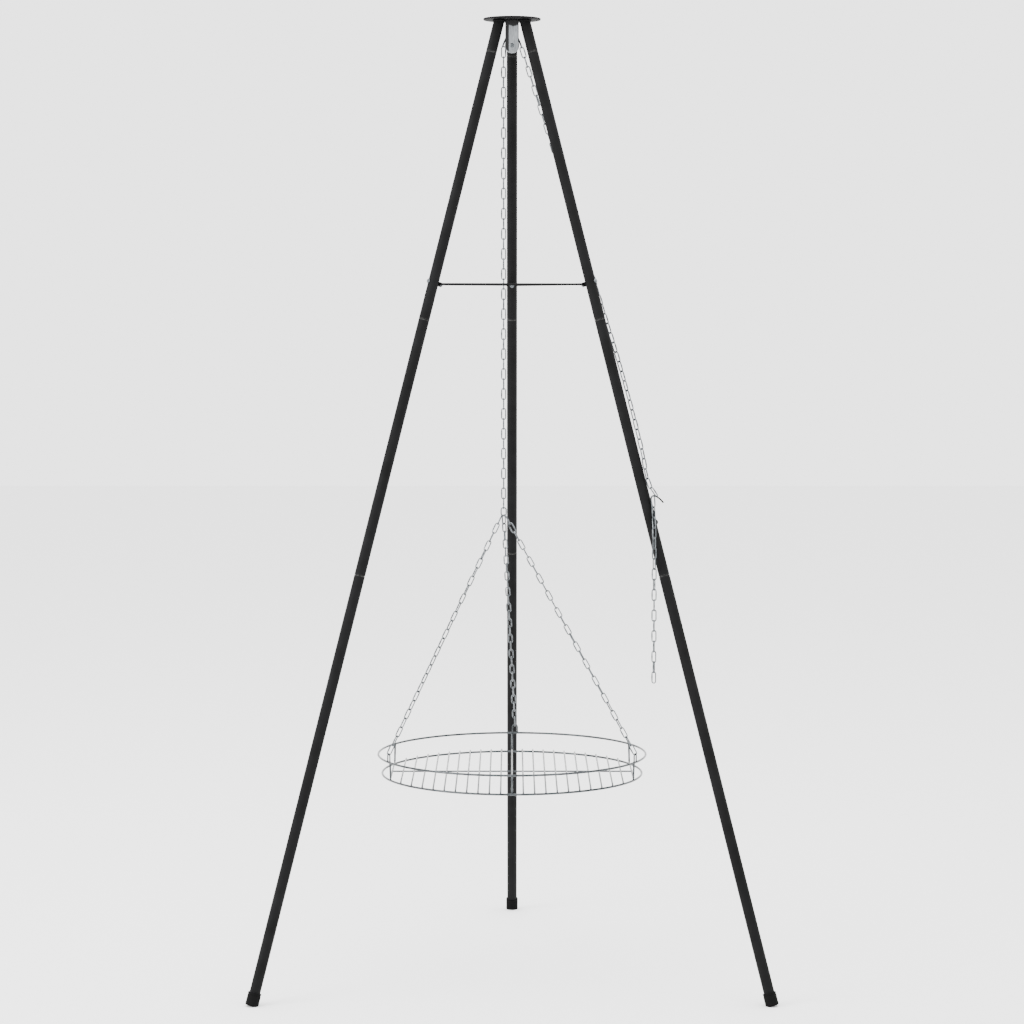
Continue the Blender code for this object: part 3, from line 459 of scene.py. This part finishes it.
def smooth_route(points, steps):
    """A smooth curve through the points, with some steps between each two."""
    headings = [(points[1] - points[0]).normalized()]
    for before, here, after in zip(points, points[1:], points[2:]):
        ahead = (here - before).normalized() + (after - here).normalized()
        headings.append(ahead.normalized())
    headings.append((points[-1] - points[-2]).normalized())
    route = []
    for i, (start, end) in enumerate(zip(points, points[1:])):
        length = (end - start).length
        for step in range(steps):
            t = step / steps
            route.append(start * (2 * t**3 - 3 * t**2 + 1) + end * (3 * t**2 - 2 * t**3)
                         + headings[i] * length * (t**3 - 2 * t**2 + t)
                         + headings[i + 1] * length * (t**3 - t**2))
    return route + [points[-1]]


def walk(route, distance):
    """The point at a distance along a route, and the direction there."""
    for start, end in zip(route, route[1:]):
        step = (end - start).length
        if distance <= step + 1e-9:
            return start.lerp(end, distance / step), (end - start).normalized()
        distance -= step
    return route[-1], (route[-1] - route[-2]).normalized()


def chain(bm, route, first_turn, last_turn, skip_first=False, cant=0.0):
    """Links along a route from its first point to its last, one centred on each.

    A link's turn is the angle in degrees of its width from the route's right-hand side;
    the next one is a quarter turn further, and the whole run twists to end as asked. Links
    between the ends hang a little out of their turn. The first link can be canted, and the
    two after it share the difference."""
    total = sum((b - a).length for a, b in zip(route, route[1:]))
    count = round(total / LINK_PITCH)
    twist = (last_turn - first_turn - 90.0 * (count % 2) + 90.0) % 180.0 - 90.0
    overlap = 2 * LINK_HALF_LENGTH - LINK_PITCH
    stretch = Matrix.Diagonal((1, 1, (total / count + overlap) / (2 * LINK_HALF_LENGTH), 1))
    for i in range(1 if skip_first else 0, count + 1):
        centre, heading = walk(route, total * i / count)
        side = heading.cross(Vector((0, 1, 0))).normalized()
        loose = LOOSENESS * math.sin(i * 2.4 + total * 50) if 0 < i < count else 0.0
        turn = first_turn + 90.0 * (i % 2) + twist * i / count + loose
        turn += cant * max(0, 1 - i / 3)
        width = Matrix.Rotation(math.radians(turn), 3, heading) @ side
        place = frame_at(centre, width, heading.cross(width), heading)
        add_link(bm, place @ stretch)


def turn_of(heading, width):
    """The turn that gives a link's width this direction where the route has that heading."""
    side = heading.cross(Vector((0, 1, 0))).normalized()
    across = heading.cross(side)
    return math.degrees(math.atan2(width.dot(across), width.dot(side)))


# --- legs -------------------------------------------------------------------------------

class Leg:
    """One leg's axis, and the directions round it, turned about the upright if asked."""

    def __init__(self, name, turn=0.0):
        azimuth = math.radians(LEG_AZIMUTHS[name])
        ray = Vector((math.cos(azimuth), math.sin(azimuth), 0.0))
        self.name = name
        self.foot = Vector((0, AXIS_Y, 0)) + ray * FOOT_CIRCLE
        self.head = Vector((0, AXIS_Y, DISC_UNDERSIDE)) + ray * HEAD_CIRCLE
        self.up = (self.head - self.foot).normalized()
        self.outward = Matrix.Rotation(math.radians(turn), 3, "Z") @ ray
        self.normal = (self.outward - self.up * self.outward.dot(self.up)).normalized()
        self.tangent = self.up.cross(self.normal)

    def at_height(self, z):
        return self.foot + self.up * (z / self.up.z)

    def placed(self, origin):
        return frame_at(origin, self.normal, self.tangent, self.up)


def tube_profile(length, spigot):
    """A tube with rolled rims, and a swaged spigot below it if it has one."""
    top = length - JOINT_GAP
    edge = 0.0006
    low = rounding(edge, -90, 0, 3, (TUBE_RADIUS - edge, edge))
    high = rounding(edge, 0, 90, 3, (TUBE_RADIUS - edge, top - edge))
    # A ring of points bounds the rims' painted highlight.
    outer = low + [(TUBE_RADIUS, RIM_HIGHLIGHT), (TUBE_RADIUS, top - RIM_HIGHLIGHT)]
    outer += high + [(BORE_RADIUS, top)]
    if not spigot:
        return [(BORE_RADIUS, 0.0)] + outer
    inner = SPIGOT_RADIUS - TUBE_WALL
    end = rounding(edge, -90, 0, 3, (SPIGOT_RADIUS - edge, edge - SPIGOT_LENGTH))
    return [(inner, -SPIGOT_LENGTH)] + end + [(SPIGOT_RADIUS, 0.0)] + outer + [
        (BORE_RADIUS, SWAGE_LENGTH), (inner, 0.0)]


def mark_rim_highlight(bm, length):
    """Marks the rims of a tube that lies along Z, where a painted highlight lightens the coat.
    """
    layer = bm.verts.layers.float.new("rim_highlight")
    rim = RIM_HIGHLIGHT * 0.9
    for vert in bm.verts:
        near_top = vert.co.z > length - JOINT_GAP - rim
        near_foot = -0.0001 < vert.co.z < rim
        outside = vert.co.xy.length > TUBE_RADIUS - 0.0007
        vert[layer] = outside * max(near_top, near_foot * 0.5)


def cut_level(bm, placement, height, keep_below):
    """Cuts a shape off at a world height and returns the edges of the cut."""
    inverse = placement.inverted()
    away = Vector((0, 0, 1 if keep_below else -1))
    made = bmesh.ops.bisect_plane(
        bm, geom=bm.verts[:] + bm.edges[:] + bm.faces[:], dist=1e-7,
        plane_co=inverse @ Vector((*placement.translation.xy, height)),
        plane_no=inverse.to_3x3() @ away, clear_outer=True)
    return [g for g in made["geom_cut"] if isinstance(g, bmesh.types.BMEdge)]


def bolt_holes(obj, leg, height, radius, reach_in):
    """Bores a tube where a bolt or screw goes through it, from outside to reach_in past
    the middle."""
    reach_out = 0.03
    bm = bmesh.new()
    bmesh.ops.create_cone(bm, cap_ends=True, segments=24, radius1=radius, radius2=radius,
                          depth=reach_out + reach_in)
    turn = frame_at(leg.at_height(height) + leg.normal * (reach_out - reach_in) / 2,
                    leg.tangent, leg.up, leg.normal)
    bmesh.ops.transform(bm, matrix=turn, verts=bm.verts)
    mesh = bpy.data.meshes.new(obj.name + "_bore")
    bm.to_mesh(mesh)
    bm.free()
    cutter = bpy.data.objects.new(obj.name + "_bore", mesh)
    bpy.context.scene.collection.objects.link(cutter)
    modifier = obj.modifiers.new("bore", "BOOLEAN")
    modifier.operation = "DIFFERENCE"
    modifier.solver = "EXACT"
    modifier.object = cutter
    bpy.context.view_layer.update()
    cut = bpy.data.meshes.new_from_object(
        obj.evaluated_get(bpy.context.evaluated_depsgraph_get()))
    obj.modifiers.clear()
    cut.name = obj.name
    obj.data = cut
    obj.data.shade_smooth()
    obj.data.set_sharp_from_angle(angle=math.radians(40))
    bpy.data.objects.remove(cutter, do_unlink=True)


def make_leg(leg):
    """A socket and three tubes that plug together, with a foot cap and a weld."""
    reach = 0.0
    for piece, length in (("socket", SOCKET_LENGTH), ("upper", UPPER_LENGTH),
                          ("middle", MIDDLE_LENGTH)):
        reach += length
        placement = leg.placed(leg.head - leg.up * reach)
        node = leg.name + "_" + piece + "_tube"
        if piece == "socket":
            bm = lathe(tube_profile(length + TUBE_RADIUS, spigot=True), 64, closed=True)
            rim = cut_level(bm, placement, DISC_UNDERSIDE - GAP, keep_below=True)
            bmesh.ops.bridge_loops(bm, edges=rim)
        else:
            bm = lathe(tube_profile(length, spigot=True), 64, closed=True)
        mark_rim_highlight(bm, UPPER_LENGTH if piece == "socket" else length)
        bmesh.ops.transform(bm, matrix=placement, verts=bm.verts)
        tube = finish_piece(node + "_look", bm, "tripod", COAT, [node])
        if piece == "upper":
            bolt_holes(tube, leg, BRACE_HEIGHT, BOLT_BORE, reach_in=0.03)
        if node == "right_middle_tube":
            bolt_holes(tube, HOOK_LEG, SCREW_HEIGHT, SCREW_BORE, reach_in=0.0)
    cap_end = leg.at_height(CAP_RADIUS * math.hypot(leg.up.x, leg.up.y) - SOLE_CUT)
    tube_end = cap_end + leg.up * (CAP_FLOOR + GAP)
    length = (leg.head - leg.up * reach - tube_end).length
    bm = lathe(tube_profile(length, spigot=False), 64, closed=True)
    mark_rim_highlight(bm, length)
    bmesh.ops.transform(bm, matrix=leg.placed(tube_end), verts=bm.verts)
    finish_piece(leg.name + "_lower_tube_look", bm, "tripod", COAT,
                 [leg.name + "_lower_tube"])
    make_foot_cap(leg, leg.placed(cap_end))
    make_socket_weld(leg)


def make_foot_cap(leg, placement):
    """A rubber ferrule with a rounded foot, a soft lip and a shallow groove below it."""
    corner = 0.0015
    lip = 0.0007
    groove = CAP_HEIGHT - 0.0042
    mouth, floor, depth = 0.0008, 0.0003, 0.0005  # the groove's half widths and its depth
    profile = [(0.0, 0.0)] + rounding(corner, -90, 0, 6, (CAP_RADIUS - corner, corner))
    profile += [(CAP_RADIUS, groove - mouth), (CAP_RADIUS - depth, groove - floor),
                (CAP_RADIUS - depth, groove + floor), (CAP_RADIUS, groove + mouth)]
    profile += rounding(lip, 0, 90, 4, (CAP_RADIUS - lip, CAP_HEIGHT - lip))
    bore = TUBE_RADIUS + GAP
    profile += [(bore, CAP_HEIGHT), (bore, CAP_FLOOR), (0.0, CAP_FLOOR)]
    bm = lathe(profile, 64, closed=False)
    sole = cut_level(bm, placement, 0.0, keep_below=False)
    bmesh.ops.edgeloop_fill(bm, edges=sole)
    bmesh.ops.transform(bm, matrix=placement, verts=bm.verts)
    finish_piece(leg.name + "_foot_cap_look", bm, "tripod", RUBBER,
                 [leg.name + "_foot_cap"], 50.0)


def make_socket_weld(leg):
    """The coated weld bead round a socket, under the disc, in overlapping ripples."""
    radius = TUBE_RADIUS + BEAD_OUT
    bm = hoop(BEAD_RADIUS, radius, 10, 96)
    for vert in bm.verts:
        angle = math.atan2(vert.co.y, vert.co.x)
        bead = abs(math.sin(angle * BEAD_RIPPLES / 2))
        around = Vector((math.cos(angle), math.sin(angle), 0)) * radius
        vert.co = around + (vert.co - around) * (0.78 + 0.22 * bead)
    level = DISC_UNDERSIDE - BEAD_DROP
    stretch = Matrix.Diagonal((1 / leg.up.z, 1, 1, 1))
    placement = frame_at(leg.at_height(level), leg.outward,
                         Vector((0, 0, 1)).cross(leg.outward), Vector((0, 0, 1)))
    bmesh.ops.transform(bm, matrix=placement @ stretch, verts=bm.verts)
    finish_piece(leg.name + "_socket_weld", bm, "tripod", COAT, [])


LEGS = {name: Leg(name) for name in LEG_AZIMUTHS}
HOOK_LEG = Leg("right", HOOK_TURN)
SCREW_HEIGHT = HOOK_HEIGHT - HOOK_STEM * HOOK_LEG.up.z
for each_leg in LEGS.values():
    make_leg(each_leg)


# --- head disc, pulley and fasteners ----------------------------------------------------

def make_disc():
    """The plate that the sockets are welded to, with rounded edges."""
    edge = 0.0005
    profile = [(HANGER_BORE, 0.0)] + rounding(edge, -90, 0, 3, (DISC_RADIUS - edge, edge))
    profile += rounding(edge, 0, 90, 3, (DISC_RADIUS - edge, DISC_THICKNESS - edge))
    profile += [(HANGER_BORE, DISC_THICKNESS)]
    bm = lathe(profile, 128, closed=True)
    bmesh.ops.translate(bm, vec=(0, AXIS_Y, DISC_UNDERSIDE), verts=bm.verts)
    finish_piece("head_disc_look", bm, "tripod", COAT, ["head_disc"])


def make_wheel():
    """The pulley wheel: two flanges, a rounded groove, a boss and a recess in each face."""
    flank = CHAIN_WIDTH / 2 + GAP
    side = flank + WHEEL_RIM_WIDTH
    boss_half = side + WHEEL_BOSS_STEP
    groove = CHAIN_PATH - CHAIN_WIDTH / 2 - GAP
    recess = side - 0.0009
    # Radius and half width, from the boss over the recess and the rim into the groove.
    half = [(AXLE_BORE, boss_half), (0.0055, boss_half), (0.0060, boss_half - 0.0005),
            (0.0060, side - 0.0006), (0.0066, recess), (0.0108, recess), (0.0114, side)]
    half += rounding(0.0006, 90, 0, 3, (WHEEL_RIM - 0.0006, side - 0.0006))
    half += rounding(0.0009, 0, -60, 3, (WHEEL_RIM - 0.0009, side - 0.0012))
    half += [(groove + 0.0006, flank - 0.0002), (groove, flank - 0.0010)]
    profile = half + [(r, -z) for r, z in reversed(half)]
    bm = lathe(profile, 72, closed=True)
    turn = Matrix.Translation((0, AXIS_Y, AXLE_HEIGHT)) @ Matrix.Rotation(math.pi / 2, 4, "X")
    bmesh.ops.transform(bm, matrix=turn, verts=bm.verts)
    finish_piece("pulley_wheel_look", bm, "wheel", WHEEL, ["pulley_wheel"])


def soften(node, mat, width):
    """A carried frame node with its finish, and its hard edges eased by a bevel."""
    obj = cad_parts[node]
    for i in range(len(obj.material_slots)):
        obj.material_slots[i].material = mat
    if not obj.material_slots:
        obj.data.materials.append(mat)
    if width:
        weld = obj.modifiers.new("weld", "WELD")
        weld.merge_threshold = 0.00001
        bevel = obj.modifiers.new("eased_edges", "BEVEL")
        bevel.width = width
        bevel.segments = 2
        bevel.limit_method = "ANGLE"
        bevel.angle_limit = math.radians(38)
        bevel.harden_normals = True


make_disc()
make_wheel()
soften("pulley_housing", HOUSING, 0.0004)
soften("pulley_axle", ZINC, 0.0002)
soften("hanger_bolt", ZINC, 0.0002)
soften("hanger_nut", ZINC, 0.0003)
soften("chain_hook", COAT, 0)
soften("hook_screw", COAT, 0)
for brace in ("brace_left_right", "brace_right_rear", "brace_rear_left"):
    soften(brace, COAT, 0.0003)
for leg_name in LEG_AZIMUTHS:
    soften(leg_name + "_brace_bolt", ZINC, 0.0002)
    soften(leg_name + "_brace_nut", ZINC, 0.0003)


# --- chain ------------------------------------------------------------------------------

AXLE = Vector((0, AXIS_Y, AXLE_HEIGHT))
HANG = AXLE - Vector((CHAIN_PATH, 0, 0))
TOP_LINK = HANG - Vector((0, 0, TOP_LINK_DROP))
RING_CENTRE = Vector((HANG.x, HANG.y, RING_HEIGHT))


def make_top_link():
    """The first hanging link, which swings on the chain over the wheel."""
    bm = bmesh.new()
    add_link(bm, Matrix.Translation(TOP_LINK))
    finish_piece("top_link_look", bm, "top_link", ZINC, ["chain_top_link"])


def make_main_chain():
    """From the top link down to the gathering ring. It shortens as the grate is raised."""
    top = TOP_LINK - Vector((0, 0, LINK_PITCH))
    ring_wire = RING_HEIGHT + RING_HALF_LENGTH
    low = Vector((HANG.x, HANG.y, ring_wire - RING_WIRE - LINK_WIRE + LINK_HALF_LENGTH))
    bm = bmesh.new()
    chain(bm, [top, low], 90.0, 90.0)
    obj = finish_piece("main_chain_look", bm, "chain", ZINC, ["main_chain"])
    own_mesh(obj)


def hook_seat():
    """The middle of the hook's wire where the chain hangs on it."""
    point = HOOK_LEG.at_height(HOOK_HEIGHT) + HOOK_LEG.outward * HOOK_SEAT
    return point + Vector((0, 0, HOOK_RISE))


def make_return_chain():
    """Over the pulley, past the back of the right leg, round it and onto the hook."""
    leg = LEGS["right"]
    leaving = math.radians(RETURN_ANGLE)
    route = [TOP_LINK, HANG]
    steps = 18
    for i in range(1, steps + 1):
        angle = math.pi + (leaving - math.pi) * i / steps
        route.append(AXLE + Vector((math.cos(angle), 0, math.sin(angle))) * CHAIN_PATH)
    down = Vector((math.sin(leaving), 0, -math.cos(leaving)))
    points = [route[-1], route[-1] + down * CHAIN_WIDTH * 2]
    for i in range(6):
        height = WIND_TOP + (WIND_END - WIND_TOP) * i / 5
        azimuth = math.radians(WIND_ANGLES[0] + (WIND_ANGLES[1] - WIND_ANGLES[0]) * i / 5)
        beside = Vector((math.cos(azimuth), math.sin(azimuth), 0)) * WIND_RADIUS
        points.append(leg.at_height(height) + beside)
    hooked = hook_seat() + Vector((0, 0, LINK_HALF_LENGTH - HOOK_WIRE - LINK_WIRE))
    points.append(hooked)
    route += smooth_route(points, 8)[1:]
    last = turn_of((route[-1] - route[-2]).normalized(), HOOK_LEG.tangent)
    bm = bmesh.new()
    chain(bm, route, 0.0, last, skip_first=True)
    finish_piece("return_chain_look", bm, "tripod", ZINC,
                 ["pulley_chain", "return_chain"])


def make_tail():
    """The loose end, from beside the hook's wire over the leg's front and down."""
    beside = Vector((HOOK_LEG.tangent.x, HOOK_LEG.tangent.y, 0)).normalized() * BESIDE_WIRE
    seat = hook_seat()
    start = seat - beside - Vector((0, 0, TAIL_SEAT_DROP + LINK_HALF_LENGTH))
    top = seat - Vector((0, 0, HOOK_WIRE + TAIL_TOP_DROP))
    # Shares of the loose end's length, and of its lean at each.
    lean = ((0.12, 0.55), (0.19, 0.88), (0.27, 1.0), (0.6, 1.0), (1.0, 1.0))
    points = [start] + [top + Vector((0, -TAIL_LEAN * forward, -TAIL_LENGTH * down))
                        for down, forward in lean]
    points[-1] += Vector((0, 0, LINK_HALF_LENGTH))
    heading = (points[1] - points[0]).normalized()
    bm = bmesh.new()
    chain(bm, smooth_route(points, 6), turn_of(heading, HOOK_LEG.outward), 30.0)
    finish_piece("chain_tail_look", bm, "tail", ZINC, ["chain_tail"])


def make_gathering_ring():
    """The oval of wire that the three short chains hang from."""
    bm = oval_wire(RING_WIRE, 14, RING_HALF_WIDTH, RING_HALF_LENGTH, 20)
    bmesh.ops.translate(bm, vec=RING_CENTRE, verts=bm.verts)
    finish_piece("gathering_ring_look", bm, "ring", ZINC, ["gathering_ring"])


def on_ring(radius, azimuth, height):
    """A point on a hoop of the grate."""
    return Vector((radius * math.cos(azimuth), AXIS_Y + radius * math.sin(azimuth), height))


def make_spread_chains():
    """The three short chains, from the gathering ring to the lugs on the upper ring."""
    outer = math.acos(OUTER_BAR_X / UPPER_RING)
    shift = LUG_SHIFT / UPPER_RING
    below_ring = RING_CENTRE - Vector((0, 0, RING_HALF_LENGTH))
    for name, azimuth, beside, cant in (("left", math.pi + outer - shift, -BESIDE_WIRE, 0.0),
                                        ("rear", math.pi / 2 - shift, 0.0, 45.0),
                                        ("right", -outer + shift, BESIDE_WIRE, 0.0)):
        foot = on_ring(UPPER_RING, azimuth, UPPER_RING_HEIGHT)
        along_ring = Vector((-math.sin(azimuth), math.cos(azimuth), 0))
        rise = RING_HALF_WIDTH - math.sqrt(RING_HALF_WIDTH**2 - beside**2)
        # The first link's end sits on the ring's lower bend, sunk a little so it can't float.
        held = below_ring + Vector((beside, 0, rise + (RING_WIRE + LINK_WIRE) * 0.8))
        eye = foot + Vector((0, 0, LUG_HEIGHT))
        heading = (eye - held).normalized()
        eye += heading * (LUG_WIRE + LINK_WIRE)
        route = [held + heading * LINK_HALF_LENGTH, eye - heading * LINK_HALF_LENGTH]
        first = turn_of(heading, heading.cross(Vector((1, 0, 0))).normalized())
        last = turn_of(heading, heading.cross(along_ring).normalized())
        bm = bmesh.new()
        chain(bm, route, first, last, cant=cant)
        finish_piece("spread_chain_" + name + "_look", bm, "grate", ZINC,
                     ["spread_chain_" + name])
        make_lug(name, foot, along_ring)


def make_lug(name, foot, along_ring):
    """An arch of wire that stands on the grate's upper ring, its feet welded to it."""
    sunk = RING_WIRE_RADIUS * 0.5  # the height of its ends, inside the ring's wire
    bend = LUG_HEIGHT - LUG_HALF_WIDTH
    bm = bent_wire(LUG_WIRE, 14, (LUG_HALF_WIDTH, 0, sunk), [
        ("to", (0, 0, bend - sunk)), ("bend", (0, 0, bend), -180, 16),
        ("to", (0, 0, sunk - bend))])
    up = Vector((0, 0, 1))
    bmesh.ops.transform(bm, matrix=frame_at(foot, along_ring, up.cross(along_ring), up),
                        verts=bm.verts)
    finish_piece("chain_lug_" + name + "_look", bm, "grate", WIRE,
                 ["chain_lug_" + name])
    welds = bmesh.new()
    for side in (-1, 1):
        nugget(welds, foot + along_ring * LUG_HALF_WIDTH * side + up * RING_WIRE_RADIUS,
               LUG_WELD)
    finish_piece("chain_lug_" + name + "_welds", welds, "grate", NUGGET, [],
                 80.0)


def nugget(bm, centre, size):
    """A spot weld's metal, squeezed out between two wires."""
    part = bmesh.new()
    bmesh.ops.create_icosphere(part, subdivisions=1, radius=1.0)
    merge(bm, part, Matrix.Translation(centre) @ Matrix.Diagonal((*size, 1)))


make_top_link()
make_main_chain()
make_return_chain()
make_tail()
make_gathering_ring()
make_spread_chains()


# --- grate ------------------------------------------------------------------------------

def make_ring(node, radius, height):
    """One of the grate's two hoops of wire."""
    bm = hoop(RING_WIRE_RADIUS, radius, 14, 180)
    bmesh.ops.translate(bm, vec=(0, AXIS_Y, height), verts=bm.verts)
    finish_piece(node + "_look", bm, "grate", WIRE, [node])


def rod(bm, start, end, radius, sides=12):
    """A wire cut square, with its ends slightly rounded."""
    direction = end - start
    length = direction.length
    edge = radius * 0.35
    profile = [(0.0, 0.0)] + rounding(edge, -90, 0, 2, (radius - edge, edge))
    profile += rounding(edge, 0, 90, 2, (radius - edge, length - edge)) + [(0.0, length)]
    part = lathe(profile, sides, closed=False)
    turn = Vector((0, 0, 1)).rotation_difference(direction).to_matrix().to_4x4()
    merge(bm, part, Matrix.Translation(start) @ turn)


def make_bars():
    """The bars on their cross wire, the uprights between the rings, and all their welds."""
    bars = bmesh.new()
    welds = bmesh.new()
    cross_z = BAR_HEIGHT - 2 * BAR_RADIUS + CROSS_WIRE_SINK
    half = OUTER_BAR_X + CROSS_WIRE_OVERHANG
    rod(bars, Vector((-half, AXIS_Y, cross_z)), Vector((half, AXIS_Y, cross_z)), BAR_RADIUS)
    for i in range(BAR_COUNT):
        x = BAR_PITCH * (i - BAR_COUNT // 2)
        reach = math.sqrt(LOWER_RING**2 - x**2)
        length = reach + BAR_OVERHANG
        rod(bars, Vector((x, AXIS_Y - length, BAR_HEIGHT)),
            Vector((x, AXIS_Y + length, BAR_HEIGHT)), BAR_RADIUS)
        nugget(welds, Vector((x, AXIS_Y, BAR_HEIGHT - BAR_RADIUS)), CROSS_WELD)
        for sign in (-1, 1):
            spot = Vector((x, AXIS_Y + sign * reach, GRATE_HEIGHT + RING_WIRE_RADIUS))
            nugget(welds, spot, RING_WELD)
    finish_piece("grate_bars_look", bars, "grate", WIRE, ["grate_bars"])
    for x in (-OUTER_BAR_X, 0.0, OUTER_BAR_X):
        for sign in (-1, 1):
            low = Vector((x, AXIS_Y + sign * math.sqrt(LOWER_RING**2 - x**2),
                          BAR_HEIGHT + BAR_RADIUS))
            high = Vector((x, AXIS_Y + sign * math.sqrt(UPPER_RING**2 - x**2),
                           UPPER_RING_HEIGHT - RING_WIRE_RADIUS))
            nugget(welds, low, UPRIGHT_FOOT_WELD)
            nugget(welds, high, UPRIGHT_HEAD_WELD)
            side = {-OUTER_BAR_X: "left", 0.0: "middle", OUTER_BAR_X: "right"}[x]
            node = "upright_" + ("front" if sign < 0 else "rear") + "_" + side
            upright = bmesh.new()
            rod(upright, low, high, UPRIGHT_RADIUS, 16)
            finish_piece(node + "_look", upright, "grate", WIRE, [node])
    finish_piece("grate_welds", welds, "grate", NUGGET, [], 80.0)


make_ring("grate_lower_ring", LOWER_RING, GRATE_HEIGHT)
make_ring("grate_upper_ring", UPPER_RING, UPPER_RING_HEIGHT)
make_bars()


# --- studio -----------------------------------------------------------------------------

def make_studio():
    """A white floor under even light, a soft key from the left, and the camera in front."""
    bm = bmesh.new()
    bmesh.ops.create_grid(bm, x_segments=2, y_segments=2, size=14.0)
    mesh = bpy.data.meshes.new("studio_floor")
    bm.to_mesh(mesh)
    bm.free()
    floor = bpy.data.objects.new("studio_floor", mesh)
    # Matt white paint: it takes a soft shadow and shows no highlight.
    mat = bpy.data.materials.new("matt_white_floor")
    mat.use_nodes = True
    shader = mat.node_tree.nodes["Principled BSDF"]
    shader.inputs["Base Color"].default_value = linear("#f4f4f4")
    shader.inputs["Roughness"].default_value = 0.9
    mesh.materials.append(mat)
    bpy.context.scene.collection.objects.link(floor)
    world = bpy.data.worlds.new("studio_white")
    world.use_nodes = True
    background = world.node_tree.nodes["Background"]
    background.inputs["Color"].default_value = linear("#ffffff")
    background.inputs["Strength"].default_value = 3.0
    bpy.context.scene.world = world
    for name, place, size, power in (("key", (-4.2, -2.6, 3.2), 2.6, 260.0),
                                     ("overhead", (0.0, -0.4, 5.5), 4.0, 260.0)):
        light = bpy.data.lights.new(name, "AREA")
        light.size = size
        light.energy = power
        lamp = bpy.data.objects.new(name, light)
        aim = Vector((0, AXIS_Y, 0.9)) - Vector(place)
        lamp.matrix_world = (Matrix.Translation(place)
                             @ aim.to_track_quat("-Z", "Y").to_matrix().to_4x4())
        bpy.context.scene.collection.objects.link(lamp)
    camera = bpy.data.cameras.new("front_camera")
    camera.lens = CAMERA_LENS
    camera.sensor_width = 36.0
    view = bpy.data.objects.new("front_camera", camera)
    view.location = (0.0, AXIS_Y - CAMERA_DISTANCE, CAMERA_HEIGHT)
    view.rotation_euler = (math.radians(CAMERA_TILT), 0.0, 0.0)
    bpy.context.scene.collection.objects.link(view)
    bpy.context.scene.camera = view


make_studio()
bpy.data.meshes.remove(LINK)
bpy.context.view_layer.update()
